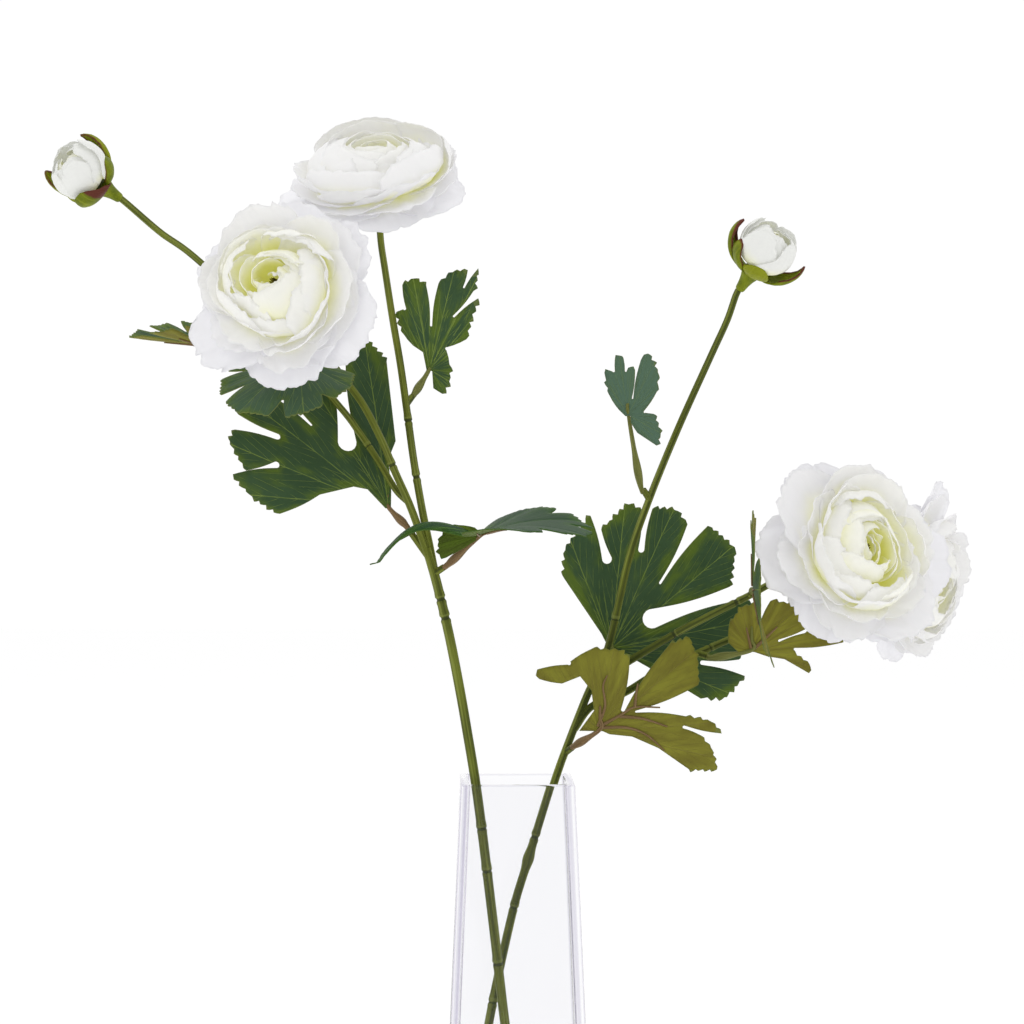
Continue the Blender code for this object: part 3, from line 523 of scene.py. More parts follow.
def makeBloom(key, flower):
    name = "petals_" + key
    mesh = growPetals(name, bloomRingValues(flower), petalCloth, thickness["petal"])
    pinchHeart(mesh, flower)
    finishFlower(name, [mesh], "white_petal", "bloom_" + key, flower)

    e = eyeTuft
    work = bmesh.new()
    for k in range(e["points"]):  # a tuft of narrow points round one
        angle = e["turn"] * k
        out = e["out"] + e["outStep"] * k if k else 0.0
        place = (out * math.cos(angle), out * math.sin(angle), e["height"] - e["heightStep"] * k)
        bmesh.ops.create_cone(work, cap_ends=True, segments=8, radius1=e["root"], radius2=e["tip"],
                              depth=e["length"], matrix=Matrix.Translation(place))
    low, high, depth = e["cup"]
    bmesh.ops.create_cone(work, cap_ends=True, segments=20, radius1=low, radius2=high, depth=depth,
                          matrix=Matrix.Translation((0.0, 0.0, e["cupHeight"])))
    name = "eyeTuft_" + key
    finishFlower(name, [meshFrom(work, name, eyeOlive)], "eye_green", "eye_" + key, flower)


for bloomKey, bloom in blooms.items():
    makeBloom(bloomKey, bloom)
print("stage: blooms grown")


# Buds, and the green sepals under every flower

budRings = [
    (2, 26.3, 78, -78, 13, 2.2, 2.6), (3, 27, 80, -68, 14, 2.7, 2.3), (3, 27.6, 82, -62, 16, 3.2, 2),
    (4, 27.2, 84, -50, 15, 3.6, 1.7),
]
budPetals = {"Root Width": 0.25, "Round End": 0.26, "Notch": 0.08, "Taper": 0.42, "Lap": 0.6, "Ruffle": 0.4,
             "Ruffle Waves": 2.6, "Crumple": 0.55, "Spread": 2.5, "Vary": 0.03, "Across": 25, "Along": 21}
buds = {  # each sepal is its turn about the bud, length, tip angle, half width and share of red
    "left": {
        "seat": (-198.3, -12.9, 535.2), "axis": (-0.70, -0.50, 0.50), "turn": 20, "seed": 2, "ragged": 0,
        "opened": 12, "openTurn": 0.3, "pinch": (0.84, 0, -0.55),
        "sepals": [(0.16, 31, -22, 4.4, 0.3), (-0.045, 19, -14, 8.2, 0.36), (-0.19, 21.5, -2, 10, 1),
                   (-0.37, 18, -14, 6, 0.25), (0.42, 33, -26, 6, 0.3)]},
    "right": {
        "seat": (113.8, 5.5, 495.3), "axis": (0.50, -0.42, 0.76), "turn": 55, "seed": 6, "ragged": 0,
        "opened": 8, "openTurn": 0, "pinch": (1, 0, 0.6),
        "sepals": [(0.11, 30, -20, 5.4, 0.5), (0.264, 20.5, -20, 7, 0.4), (0.445, 16, -2, 9.2, 0),
                   (0.67, 26, 6, 6.2, 0.35), (-0.10, 20, -10, 6.5, 0.3)]},
}
sepals = {
    "all": {"Lean": 97, "Root Radius": 3.4, "Root Width": 0.45, "Ruffle": 0.4, "Ruffle Waves": 1.5,
            "Crumple": 0.5, "Edge Curl": 6, "Spread": 5, "Lap": 0, "Notch": 0.05, "Turn": 0.02,
            "Across": 13, "Along": 17},
    "bloom": {"Petals": 5, "Length": 15, "Tip": 128, "Half Width": 5.6, "Root Height": -1.9,
              "Round End": 0.65, "Cup": 0.05, "Layer": 0.3},
    "bud": {"Petals": 1, "Root Height": -1.6, "Round End": 0.55, "Cup": 0.07},
}
budHeartProfile = [(0, 1), (4.6, 2), (7.4, 5.5), (8.2, 10), (6.6, 15.5), (3.6, 19), (0, 20.4)]
seatProfile = [(0, -9.05), (1.72, -9.05), (1.74, -12.6), (2.15, -12.9), (2.4, -12.2), (2.55, -10.8),
               (2.9, -8.6), (3.5, -6.2), (4.4, -3.8), (5, -2), (5, -1), (4.5, -0.2), (3.9, 0), (0, 0)]


def makeSepalGreen():
    b = newPaint("sepalGreen", {"Roughness": 0.52, "Specular IOR Level": 0.15})
    u, v, tone, layer = b.read("across", "along", "tone", "layer")
    patch = b.noise(b.place(), 160.0, 3.0)
    line = b.noise(b.vector(u * 14.0, v * 1.1, tone * 23.0), 1.0, 3.0)
    tipped = b.ramp(v + layer * b.ramp(layer, 0.95, 0.80) * 0.32 + (patch - 0.5) * 0.16, 1.03, 1.11)
    edged = b.ramp(u + (patch - 0.5) * 0.3, 0.26, 0.42) * b.ramp(v, 0.2, 0.4) * b.ramp(layer, 0.8, 0.95)
    tint = b.coats(
        (0.130, 0.165, 0.006),
        (b.ramp(patch, 0.35, 0.70), (0.215, 0.260, 0.010)),
        (b.ramp(layer, 0.33, 0.29) * b.ramp(tone, 0.0, 0.02) * 0.50, (0.330, 0.350, 0.012)),
        (b.ramp(line, 0.48, 0.70) * 0.35, (0.36, 0.38, 0.03)),
        (b.high(tipped, edged), (0.120, 0.030, 0.018)))
    return plug(b, {"Base Color": tint, "Normal": b.bump(0.35, 0.6, line + patch * 0.5)})


def makeBudHeart():
    b = newPaint("budHeart", {"Roughness": 0.7, "Specular IOR Level": 0.2})
    tint = b.blend(b.noise(b.place(), 300.0), (0.50, 0.52, 0.10), (0.72, 0.74, 0.30))
    return plug(b, {"Base Color": tint})


sepalGreen = makeSepalGreen()
budHeart = makeBudHeart()


def turnedMesh(name, profile, sides, material):  # from pole to pole, in the flower's own frame
    (_, low), *rings, (_, high) = profile
    turns = [fullTurn * j / sides for j in range(sides)]
    points = [(0, 0, low)]
    for radius, height in rings:
        points += [(radius * math.cos(turn), radius * math.sin(turn), height) for turn in turns]
    points.append((0, 0, high))
    last = (len(rings) - 1) * sides
    faces = []
    for j in range(1, sides + 1):
        beside = j % sides + 1
        faces += [(0, beside, j), (j + last, beside + last, len(points) - 1)]
        faces += [(j + k, beside + k, beside + k + sides, j + k + sides) for k in range(0, last, sides)]
    return newMesh(name, material, points, faces, unit=1)


def makeCalyx(name, node, flower, kind):
    shared = {**sepals["all"], **sepals[kind], "Seed": flower["seed"] + 50}
    rings = []
    for k, (turn, length, tip, halfWidth, red) in enumerate(flower.get("sepals", [])):
        rings.append({**shared, "Turn": turn, "Length": length, "Tip": tip, "Half Width": halfWidth,
                      "Layer": red, "Seed": shared["Seed"] + k})
    blades = growPetals(name, rings or [shared], sepalGreen, thickness["sepal"])
    seat = turnedMesh(name + "Seat", seatProfile, 28, sepalGreen)
    finishFlower(name, [blades, seat], "sepal_green", node, flower)


def makeBud(key, flower):
    rings = []
    for k, ring in enumerate(budRings):
        rings.append({**budPetals, **dict(zip(ringColumns, ring)), "Turn": 0.21 * k,
                      "Bias": flower["opened"] * (k / (len(budRings) - 1)), "Bias Turn": flower["openTurn"],
                      "Layer": 1.35 if k else 0.25, "Seed": flower["seed"] * 40 + k})
    name = "budPetals_" + key
    petals = growPetals(name, rings, petalCloth, thickness["petal"])
    pinchHeart(petals, flower)
    heart = turnedMesh(name + "Heart", budHeartProfile, 24, budHeart)
    finishFlower(name, [petals, heart], "white_petal", "bud_" + key, flower)


for bloomKey, bloom in blooms.items():
    makeCalyx("bloomSepals_" + bloomKey, "calyx_" + bloomKey, bloom, "bloom")
for budKey, bud in buds.items():
    makeBud(budKey, bud)
    makeCalyx("budSepals_" + budKey, "bud_calyx_" + budKey, bud, "bud")
print("stage: buds and sepals grown")


# Stems: a Geometry Nodes tree skins each branch's centre line with a grooved, collared tube

stemSockets = {"Sides": 20, "Groove Depth": 0.16, "Groove Width": 0.5}


def stemSkin(b, given, ask):
    ring = b.node("GeometryNodeCurvePrimitiveCircle", {"Resolution": ask("Sides"), "Radius": 1.0})
    around = b.node("GeometryNodeSplineParameter")
    off = b.math("PINGPONG", around, 0.5) * fullTurn  # from the groove
    dent = 1.0 - ask("Groove Depth") * b.ramp(off, ask("Groove Width"), 0.0)
    where = b.node("GeometryNodeInputPosition")
    pulled = b.node("ShaderNodeVectorMath", {0: where, 3: dent}, operation="SCALE")
    ring = b.node("GeometryNodeSetPosition", {"Geometry": ring, "Position": pulled})
    # the groove's mask, which the stem paint uses for painted shade in the groove
    ring = b.store(ring, "groove", b.ramp(off, ask("Groove Width") * 1.3, 0.0))
    ring = b.store(ring, "around", around)
    line = b.store(given, "length", b.node("GeometryNodeSplineParameter").other("Length"))
    radius = b.node("GeometryNodeInputRadius")
    return b.node("GeometryNodeCurveToMesh",
                  {"Curve": line, "Profile Curve": ring, "Scale": radius, "Fill Caps": True})


stemTree = makeTree("stemSkin", stemSockets, stemSkin, False)


def smoothLine(route, step=1.5):  # a smooth line through the route's points, with points a step apart
    knots = [Vector(p) for p in route]
    knots = [2 * knots[0] - knots[1], *knots, 2 * knots[-1] - knots[-2]]
    line = []
    for k in range(1, len(knots) - 2):
        a, p, q, d = knots[k - 1:k + 3]
        count = max(2, round((q - p).length / step))
        for t in (j / count for j in range(count)):
            line.append(0.5 * (2 * p + (q - a) * t + (2 * a - 5 * p + 4 * q - d) * t ** 2
                               + (3 * p - a - 3 * q + d) * t ** 3))
    return [*line, knots[-2]]


def skinLine(name, line, radii, material, **values):  # a tube mesh in metres, from a line in millimetres
    curve = bpy.data.curves.new(name, "CURVE")
    curve.dimensions = "3D"
    spline = curve.splines.new("POLY")
    spline.points.add(len(line) - 1)
    for point, place, radius in zip(spline.points, line, radii):
        point.co = (*(Vector(place) * mm), 1.0)
        point.radius = radius * mm
    made = newObject(name, curve)
    addTree(made, stemTree, {**values, "Material": material})
    return evaluated(made)


def makeStemGreen():
    b = newPaint("stemGreen", {"Specular IOR Level": 0.15})
    groove, along, around, ring = b.read("groove", "length", "around", "ring")
    streak = b.noise(b.vector(around * 11.0, along * 14.0, 0.0), 1.0, 3.0)
    patch = b.noise(b.place(), 45.0, 3.0)
    green = b.coats(
        (0.100, 0.120, 0.014),
        (b.ramp(patch, 0.35, 0.68), (0.150, 0.175, 0.020)),
        (b.ramp(streak, 0.50, 0.64) * 0.60, (0.250, 0.285, 0.060)),
        (b.ramp(streak, 0.49, 0.38) * 0.60, (0.050, 0.062, 0.008)),
        # painted shade in the groove
        (groove * 0.80, (0.030, 0.042, 0.006)),
        (b.ramp(ring, 0.25, 0.75) * 0.75, (0.022, 0.032, 0.006)),  # painted shade in the nick under a collar
        (b.ramp(ring, -0.25, -0.75) * 0.32, (0.260, 0.300, 0.070)))  # a painted highlight on its lip
    rough = 0.36 + patch * 0.25
    return plug(b, {"Base Color": green, "Normal": b.bump(0.5, 0.6, streak), "Roughness": rough})


stemGreen = makeStemGreen()

stemShape = {"main": 2.3, "fork": 1.9, "branch": 1.6, "nub": 1.55, "knobSwell": 0.36, "knobHalf": 4.0,
             "collarSwell": 1.12, "collarCut": 0.86, "collarSteps": (-2.6, -0.9, 0.2, 3.4),
             "ringSteps": (-1.0, 0.4, 1.5), "underSeat": 9.2, "straightEnd": 6.5}
stems = {  # distances along a branch, and its route's points, which end under its flower's seat
    "left": table("radius collars route knob", {
        "main": (("main", "main"), (45, 98, 151, 197, 218, 322, 331), [(8.5, 5, 12.8), (1.5, -1.3, 73),
            (-6.3, -7.5, 136.5), (-11.5, -12.5, 183.6), (-18.4, -19.2, 242.1), (-23.8, -22.5, 276.8),
            (-27.8, -25, 299.9), (-32.3, -27, 322.9), (-37.7, -28.5, 345.8), (-42.5, -29.3, 363)]),
        "bloom_left_top": (("fork", "branch"), (52, 79), [(-37.7, -28.5, 345.8), (-41, -28.5, 362.9),
            (-44.8, -27, 381.3), (-48.7, -24.5, 403.9), (-51.9, -20.5, 426.5), (-55.2, -15.5, 449.3),
            (-59.3, -8, 472.2), (-63.2, 4, 495.4), (-65.2, 11, 507.5)]),
        "bloom_left_front": (("fork", "branch"), (52,), [(-40, -29, 354), (-49.6, -31, 381),
            (-57.1, -31, 398.3), (-63.9, -30, 414.1), (-73, -28, 431.3), (-84.4, -26, 446.4),
            (-91.5, -25.5, 456.5), (-97, -29, 467), (-100.2, -38, 475)]),
        "bud_left": (("branch", "branch"), (36,), [(-51, -31, 384.5), (-57.3, -26, 390.5),
            (-65.7, -20, 403.9), (-75.1, -14, 417.4), (-85.1, -9, 430.2), (-119, 0, 468),
            (-153.5, 1, 500.2), (-170.7, 1, 512.8)]),
    }),
    "right": table("radius collars route knob", {
        "bud_right": (("main", "branch"), (40, 86, 128, 174, 209, 325), [(-30.3, 2, 12.8), (-23, 4.5, 73),
            (-12.6, 8.5, 134.2), (-2.4, 13.5, 180.1), (4.6, 16.3, 203.2), (11.9, 18.6, 226.3),
            (19.4, 20.4, 249.4), (24.3, 21.5, 262.9), (33.9, 22, 287.5), (44.4, 21, 311.7),
            (54.5, 19, 355.1), (63.9, 18, 383.2), (78, 16, 418.2), (93.6, 15, 453),
            (101.5, 13.8, 470.5)], 198),
        "bloom_right_front": (("fork", "branch"), (50, 84), [(36, 22, 293), (45.9, 20, 300.1),
            (55.4, 17, 306.1), (77.2, 10, 319.7), (92.3, 6, 328.1), (112.1, 4, 338.3), (123.6, 5.5, 344.4),
            (139, 7, 349.5)]),
        "bloom_right_back": (("fork", "branch"), (48, 80), [(28, 21.8, 272), (36.5, 22.5, 283),
            (52.7, 24, 289.7), (66.3, 26, 297.8), (85.7, 30, 307.1), (96.5, 33, 311.7),
            (119.5, 40.5, 321.5), (150, 54, 338), (166, 59.5, 345.5)]),
    }),
}


def stemTop(flower):  # where a branch ends, under its flower's seat, and a point below that
    axis = Vector(flower["axis"]).normalized()
    top = Vector(flower["seat"]) - axis * stemShape["underSeat"]
    return [top - axis * stemShape["straightEnd"], top]


def collared(distance, collars, radius):  # the radius at a distance from the foot
    swell = stemShape["collarSwell"] - 1
    under, cut, lip, end = stemShape["collarSteps"]
    for past in (distance - collar for collar in collars):
        if cut <= past < lip:
            return radius * stemShape["collarCut"]
        if lip <= past < end:
            return radius * (1 + swell * (1 - (past - lip) / (end - lip)) ** 0.6)
        if under <= past < cut:
            return radius * (1 + swell * 0.5)
    return radius


def ringMark(distance, collars):  # 1 in the nick under a collar, where shade is painted, -1 on its lip, where a highlight is painted
    nick, lip, end = stemShape["ringSteps"]
    for past in (distance - collar for collar in collars):
        if nick <= past < end:
            return 1.0 if past < lip else -1.0
    return 0.0


def branchMesh(name, branch, flower):
    line = smoothLine(branch["route"] + (stemTop(flower) if flower else []), 0.8)
    start, end = (stemShape[key] for key in branch["radius"])
    distances = [0.0]
    for a, c in zip(line, line[1:]):
        distances.append(distances[-1] + (c - a).length)
    total, collars = distances[-1], branch["collars"]
    radii = [collared(d, collars, start + (end - start) * d / total) for d in distances]
    if "knob" in branch:
        swell, half = stemShape["knobSwell"], stemShape["knobHalf"]
        bumps = [math.exp(-((d - branch["knob"]) / half) ** 2) for d in distances]
        radii = [r * (1 + swell * bump) for r, bump in zip(radii, bumps)]
    mesh = skinLine(name, line, radii, stemGreen)
    lengths = [0.0] * len(mesh.vertices)
    mesh.attributes["length"].data.foreach_get("value", lengths)
    setNumbers(mesh, "ring", [ringMark(length / mm, collars) for length in lengths])
    return mesh


def makeStem(side):
    flowers = {**blooms, **buds}
    meshes = []
    for key, branch in stems[side].items():
        meshes.append(branchMesh(key, branch, flowers.get(key.partition("_")[2])))
    for key, leaf in leaves.items():
        if key.startswith(side):
            ends = [Vector(leaf["stem"]), Vector(leaf["nub"])]
            radii = [stemShape["nub"] * 1.1, stemShape["nub"]]
            meshes.append(skinLine("nub", ends, radii, stemGreen, **{"Groove Depth": 0}))
    finishPiece("stem_" + side + "_skin", meshes, "stem_green", "stem_" + side)


# Leaves: a lobed outline with sharp teeth, bent, veined and given a stalk and ribs

# Corners as angle and reach: left side, a lobe's crown, a notch (angle, depth, gap), a crown ... right side
leafShapes = {
    "fan": [(-100, 9), (-90, 35, -66, 44), (-58, 26, 2), (-53, 44, -30, 51), (-25, 20, 4),
        (-18, 52, 0, 58, 17, 53), (24, 20, 4), (31, 50, 52, 45), (58, 26, 2), (66, 44, 90, 35), (100, 9)],
    "leftFlat": [(-100, 9), (-92, 36, -72, 46, -56, 50), (-50, 43, 1), (-46, 52, -22, 56), (-18, 46, 1),
        (-12, 56, 8, 57, 24, 54), (30, 44, 1), (36, 52, 54, 49), (60, 38, 1), (66, 46, 84, 36),
        (104, 12, 2), (139, 47, 145, 58, 151, 45), (152, 22, 146, 7)],
    "leftFront": [(-100, 9), (-92, 36, -72, 46, -56, 50), (-50, 42, 1), (-46, 52, -22, 56), (-18, 42, 1.5),
        (-12, 56, 8, 58, 24, 54), (30, 38, 1.5), (36, 52, 58, 48), (63, 34, 1), (68, 45, 92, 36), (100, 9)],
    "flap": [(-75, 4), (-42, 11, -28, 16, -8, 19.5, 9, 21, 17, 19), (24, 9)],
    "leftLarge": [(-50, 13, -61, 19, -83, 33), (-97, 52, -89, 65, -82, 75), (-72, 55, 3.2),
        (-79.5, 69, -71.5, 80, -67, 80), (-60, 60, 3.2), (-61.5, 82, -55, 86, -48, 80), (-44, 53, 1.2),
        (-41, 80, -31, 84, -22, 76), (-36, 33, 9), (-14.5, 82, -6.5, 87, -0.6, 75),
        (5.8, 33, 0, 24, 10, 8)],
    "rightLarge": [(-37, 8, -35, 37), (-35, 39, -26, 50, -10, 62), (-3, 39, 4.5),
        (-6, 55, 5.8, 67, 11.5, 65), (16.5, 46, 3), (15.5, 67, 24, 70, 31.5, 67), (37, 37, 1.2),
        (38.6, 72, 52, 74, 63, 62), (50, 19, 9), (69.5, 63, 74, 72, 95, 60), (99, 42, 2),
        (101.5, 64, 113, 58, 119, 47), (118, 27, 116, 9)],
    "leftUpper": [(-20, 9, -34, 14), (-36, 21, -29.5, 32), (-22, 31, 1.5), (-17.5, 43, -9.5, 45, -2, 41),
        (2.2, 21, 1), (6, 42, 13.5, 49, 21, 52), (22.5, 43, 0.8), (25.5, 55, 29, 44), (24, 28, 1),
        (34, 42, 39.7, 30, 50, 23), (36, 13, 1.5), (75, 10, 120, 11, 152, 13), (168, 9)],
    "rightUpper": [(-60, 5), (-43, 13, -32, 20, -26, 25), (-18, 22, 1.2), (-12, 30, -4.8, 28), (-3, 21, 1),
        (0, 23, 9, 22), (16, 8, 0.8), (13.8, 27, 19, 31, 37, 25, 54, 18), (84, 8, 1.2),
        (90, 13, 120, 19, 137, 21), (152, 10, 160, 4)],
    "rightLow": [(-93, 10, -17, 10, -12, 20, -20, 28, -39, 29), (-50, 38, -46, 42), (-24, 35, 2),
        (-6, 40, 13, 40, 22, 38), (50, 14, 2), (39, 53, 44, 62, 54, 58, 66, 52), (63, 19, 1),
        (82, 42, 87, 54, 93, 59), (89, 40, 1.5), (94, 48, 101, 55, 111, 61, 116, 48),
        (109, 30, 103, 16, 115, 5)],
    "rightSide": [(-100, 6, -70, 12), (-40, 17, -12, 22, 6, 23), (14, 14, 1.5),
        (21, 26, 38, 29, 57, 34, 69, 31), (71, 14, 1.2), (73, 28, 75, 42, 86, 46), (89, 21, 1.2),
        (97, 23, 104, 30, 112, 31), (105, 17, 110, 8)],
}
leafCut = {"length": 60.0, "grid": 2.3, "thickness": 0.5, "quilt": 0.45, "rootHalf": 1.3, "bulge": 0.035,
           "toothPitch": 3.8, "toothDepth": 1.5, "toothPlace": (0.45, 0.8), "toothSize": (0.35, 1.25),
           "toothBelly": 0.62}
stalkShape = {"root": 1.35, "swell": 0.75, "taper": 0.85, "sides": 12, "reach": (0.5, 6, 12),
              "offStem": (0.35, 3.0), "ribSides": 8, "ribTaper": 0.55, "ribStep": 0.075, "ribMargin": 1.6}
# The sheen tint above 0 paints a blue-green sheen on a leaf; below 0 it darkens the leaf towards blue-green.
leaves = table("shape size arch fold wave stalk frost stem nub palm axis face", {
    "left_large": ("leftLarge", 1, 14, 0.16, 1.6, "tan", 0, (-40.6, -29, 357.1), (-51, -26, 371.3),
        (-61, -20, 381.8), (0, 0.3, 1), (0.1, -1, 0.3)),
    "left_front": ("leftFront", 0.79, 24, -0.12, 1.4, "green", 0.35, (-92, -25.7, 457.2),
        (-92.3, -31.6, 455.4), (-101.3, -43.5, 451), (-0.48, -0.72, -0.34), (-0.12, -0.42, 0.9)),
    "left_upper": ("leftUpper", 1, 12, 0.06, 1, "green", 0, (-52.6, -19.6, 430.5), (-49.8, -15.6, 434.2),
        (-41.7, -4, 446.9), (0, 0.12, 1), (0.1, -1, 0.12)),
    "left_side": ("fan", 0.62, -6, 0.42, 1.2, "tan", 0, (-121, 0.2, 469.9), (-125.9, -4, 468.6),
        (-148.4, -10, 459.4), (-1, -0.12, 0.02), (0.04, -0.06, 0.99)),
    "left_flat": ("leftFlat", 0.95, 42, 0.1, 1.6, "tan", -0.8, (-39, -28.7, 350.8), (-34.4, -32.2, 354),
        (-17.5, -41, 369.8), (0.9, -0.3, 0.32), (-0.28, 0.02, 0.95)),
    "right_large": ("rightLarge", 1.06, -10, -0.06, 1.6, "green", 0, (40.3, 21.3, 300.2), (41.4, 27.3, 301),
        (46.7, 36, 310.6), (0, 0.1, 1), (0.13, -1, 0.1)),
    "right_low": ("rightLow", 1, 12, -0.14, 2.2, "tan", 0, (24.1, 21.8, 260.9), (27, 16.6, 263.6),
        (40.2, 4, 273.3), (0, -0.16, 1), (0, -1, -0.16)),
    "right_upper": ("rightUpper", 1, 10, 0.18, 1, "green", 0.9, (64.3, 18, 384.2), (61.3, 15.2, 388.8),
        (53.6, 6, 425.1), (0, 0.14, 1), (-0.25, -1, 0.14)),
    "right_edge": ("fan", 0.92, -4, 0.115, 2.6, "green", 0, (112.6, 4, 338.6), (113, -1.4, 340),
        (113.3, -11, 342), (-0.072, -0.99, 0.06), (0.99, -0.065, 0.115)),
    "right_side": ("rightSide", 1, 8, -0.12, 1.6, "green", 0, (88.6, 30.8, 308.4), (93.2, 27, 307.2),
        (114.2, 22.5, 310.1), (0, -0.05, 1), (0.1, -1, -0.05)),
})
leaves["left_flat"]["hump"] = (145, 24, 13, 51)  # bearing, width, rise and end
leaves["left_flat"]["flap"] = {"shape": "flap", "size": 1, "arch": 20, "fold": 0.12, "wave": 0.5,
                               "axis": (-0.95, 0, -0.30), "face": (0, 1, 0)}
leaves["right_edge"]["swapped"] = True
leaves["right_low"]["ribs"] = [
    [(-1, 2), (2.4, 12), (1.4, 21.6), (3.4, 27)], [(0, 2), (9.6, 7.2), (16.8, 11), (29, 10.6)],
    [(16.8, 11), (17.2, 16), (18.2, 22.6)], [(9.6, 6.7), (20.6, 5.3), (32.6, 1)],
    [(0, 1.4), (13, 1), (22.6, -2.9), (31.2, -11)]]
undersideLeaves = ("right_low", "right_side")  # their olive side faces the front
uvScale = 100.0  # millimetres to one unit of a leaf's UV maps


def makeLeafCloth(name, topIsOlive):
    b = newPaint(name, {"Specular IOR Level": 0.08})
    side, rim, tone, frost = b.read("side", "rim", "tone", "frost")
    sheenShare = b.ramp(frost, 0.0, 1.0)  # painted sheen: blue-green, with the veins hidden, where the tint is above 0
    spot = b.place()
    maps = [b.apart(b.node("ShaderNodeUVMap", uv_map=layer)) for layer in ("veins", "flat")]
    off, along = (value * uvScale for value in maps[0][:2])  # from the nearest midrib, and along it
    x, y = (value * uvScale for value in maps[1][:2])  # from the blade's root
    reach = b.math("SQRT", x * x + y * y)
    bearing = b.math("ARCTAN2", x, y)
    wobble = (b.noise(spot, 75.0, 2.0) - 0.5) * 2.6
    fading = b.ramp(b.noise(spot, 140.0, 2.0), 0.34, 0.56)
    midrib = b.ramp(abs(off + wobble * 0.3), 0.36, 0.08) * b.ramp(fading, 0.0, 1.0, 0.55, 1.0)
    lateral = b.math("PINGPONG", along - abs(off) ** 1.12 * 2.1 + wobble, 4.3)
    lateral = b.ramp(lateral, 0.40, 0.06) * b.ramp(abs(off), 19.0, 9.0) * fading
    fan = b.math("PINGPONG", bearing + wobble * 0.012, 0.075) * reach
    fan = b.ramp(fan, 0.34, 0.06) * b.ramp(reach, 44.0, 18.0) * b.ramp(reach, 5.0, 12.0) * fading
    lines = b.high(b.high(midrib, lateral * 0.9), fan * 0.8)
    streak = b.noise(b.vector(bearing * 5.0, reach * 0.035, tone * 30.0), 1.0, 3.0, 0.6)
    yellow = b.ramp(streak + b.ramp(rim, 8.0, 0.0) * 0.20, 0.55, 0.80) * (1.0 - sheenShare * 0.9)
    olive = b.coats(
        (0.170, 0.155, 0.024),
        (b.ramp(streak, 0.32, 0.70), (0.250, 0.245, 0.032)),
        (lines * 0.30, (0.22, 0.17, 0.06)))
    under = 1.0 - side if topIsOlive else side
    both = b.coats(
        (0.034, 0.072, 0.030),
        (b.noise(spot, 60.0, 3.0), (0.060, 0.110, 0.048)),
        (sheenShare, (0.095, 0.165, 0.112)),
        (yellow * 0.85, (0.110, 0.170, 0.020)),
        (lines * 0.70 * (1.0 - sheenShare * 0.75), (0.240, 0.330, 0.070)),
        (under, olive),
        # a paler band along the cut edge: partly the cut cloth's own colour, partly a painted highlight on
        # the rim
        (b.ramp(rim, 0.30, 0.06) * 0.6, (0.17, 0.21, 0.06)))
    toned = b.blend(0.35, both, b.blend(tone, (0.78, 0.78, 0.78), (1.0, 1.0, 1.0)), "MULTIPLY")
    # below 0, the sheen tint darkens the leaf towards a deeper blue-green
    toned = b.blend(b.ramp(frost, 0.0, -1.0), toned, (0.34, 0.62, 0.46), "MULTIPLY")
    cloth = b.noise(spot, 1500.0, 2.0)
    relief = streak * 0.9 - lines * 0.4 - b.ramp(abs(off), 4.0, 0.0) * 0.5 + cloth * 0.12
    return plug(b, {"Base Color": toned, "Normal": b.bump(0.6, 0.9, relief),
                    "Roughness": 0.42 + cloth * 0.16 + under * 0.14})


def makeStalkPaint(name, deep, pale):
    b = newPaint(name, {"Roughness": 0.5, "Specular IOR Level": 0.3})
    along, around = b.read("length", "around")
    streak = b.noise(b.vector(around * 7.0, along * 60.0, 0.0), 1.0, 3.0)
    tint = b.blend(b.ramp(streak, 0.35, 0.70), deep, pale)
    return plug(b, {"Base Color": tint, "Normal": b.bump(0.4, 0.5, streak)})


leafCloth = makeLeafCloth("leafCloth", False)
oliveCloth = makeLeafCloth("leafUndersideCloth", True)
stalkPaints = {
    "tan": makeStalkPaint("stalkTan", (0.150, 0.088, 0.030), (0.260, 0.170, 0.075)),
    "green": makeStalkPaint("stalkGreen", (0.110, 0.120, 0.018), (0.205, 0.215, 0.050)),
}


def corners(row):  # angle, reach, angle, reach ... as points from the blade's root
    return [Vector((reach * math.sin(angle * degree), reach * math.cos(angle * degree)))
            for angle, reach in zip(row[::2], row[1::2])]


def leftOf(direction):
    return Vector((-direction.y, direction.x))


def toothed(a, b, draw):
    length = (b - a).length
    count = max(1, round(length / leafCut["toothPitch"]))
    along = (b - a).normalized()
    outward = leftOf(along)
    points = []
    for k in range(count):
        start = a + (b - a) * (k / count)
        tip = draw.uniform(*leafCut["toothPlace"]) * length / count
        depth = leafCut["toothDepth"] * draw.uniform(*leafCut["toothSize"])
        belly = start + along * tip * 0.5 + outward * depth * leafCut["toothBelly"]
        points += [start, belly, start + along * tip + outward * depth]
    return points


def notch(before, after, angle, depth, gap):
    foot = corners((angle, depth))[0]
    inward = (foot - (before + after) / 2).normalized()
    across = leftOf(inward)
    if across.dot(before - after) < 0:
        across = -across
    half = gap / 2
    turns = [math.cos(math.pi * k / 8) for k in range(9)]
    return [foot + across * half * t + inward * half * (math.sqrt(max(0.0, 1 - t * t)) - 1) for t in turns]


def bowed(a, b):  # a gently curved side from a to b, without its end points
    length = (b - a).length
    outward = leftOf((b - a).normalized())
    count = max(1, round(length / 3.0))
    return [a + (b - a) * (k / count) + outward * leafCut["bulge"] * length * math.sin(math.pi * k / count)
            for k in range(1, count)]


def leafEdge(shape, size, draw):  # the outline, clockwise from the left of the stalk
    left, *lobes, right = shape
    half = leafCut["rootHalf"]
    edge = [Vector((-half, -0.5)), *corners(left)]
    for k in range(0, len(lobes), 2):
        crown = corners(lobes[k])
        edge += bowed(edge[-1], crown[0])
        for a, b in zip(crown, crown[1:]):
            edge += toothed(a, b, draw)
        edge.append(crown[-1])
        if k + 1 < len(lobes):
            foot = notch(crown[-1], corners(lobes[k + 2])[0], *lobes[k + 1])
            edge += bowed(crown[-1], foot[0]) + foot
    return [p * size for p in (*edge, *corners(right), Vector((half, -0.5)))]


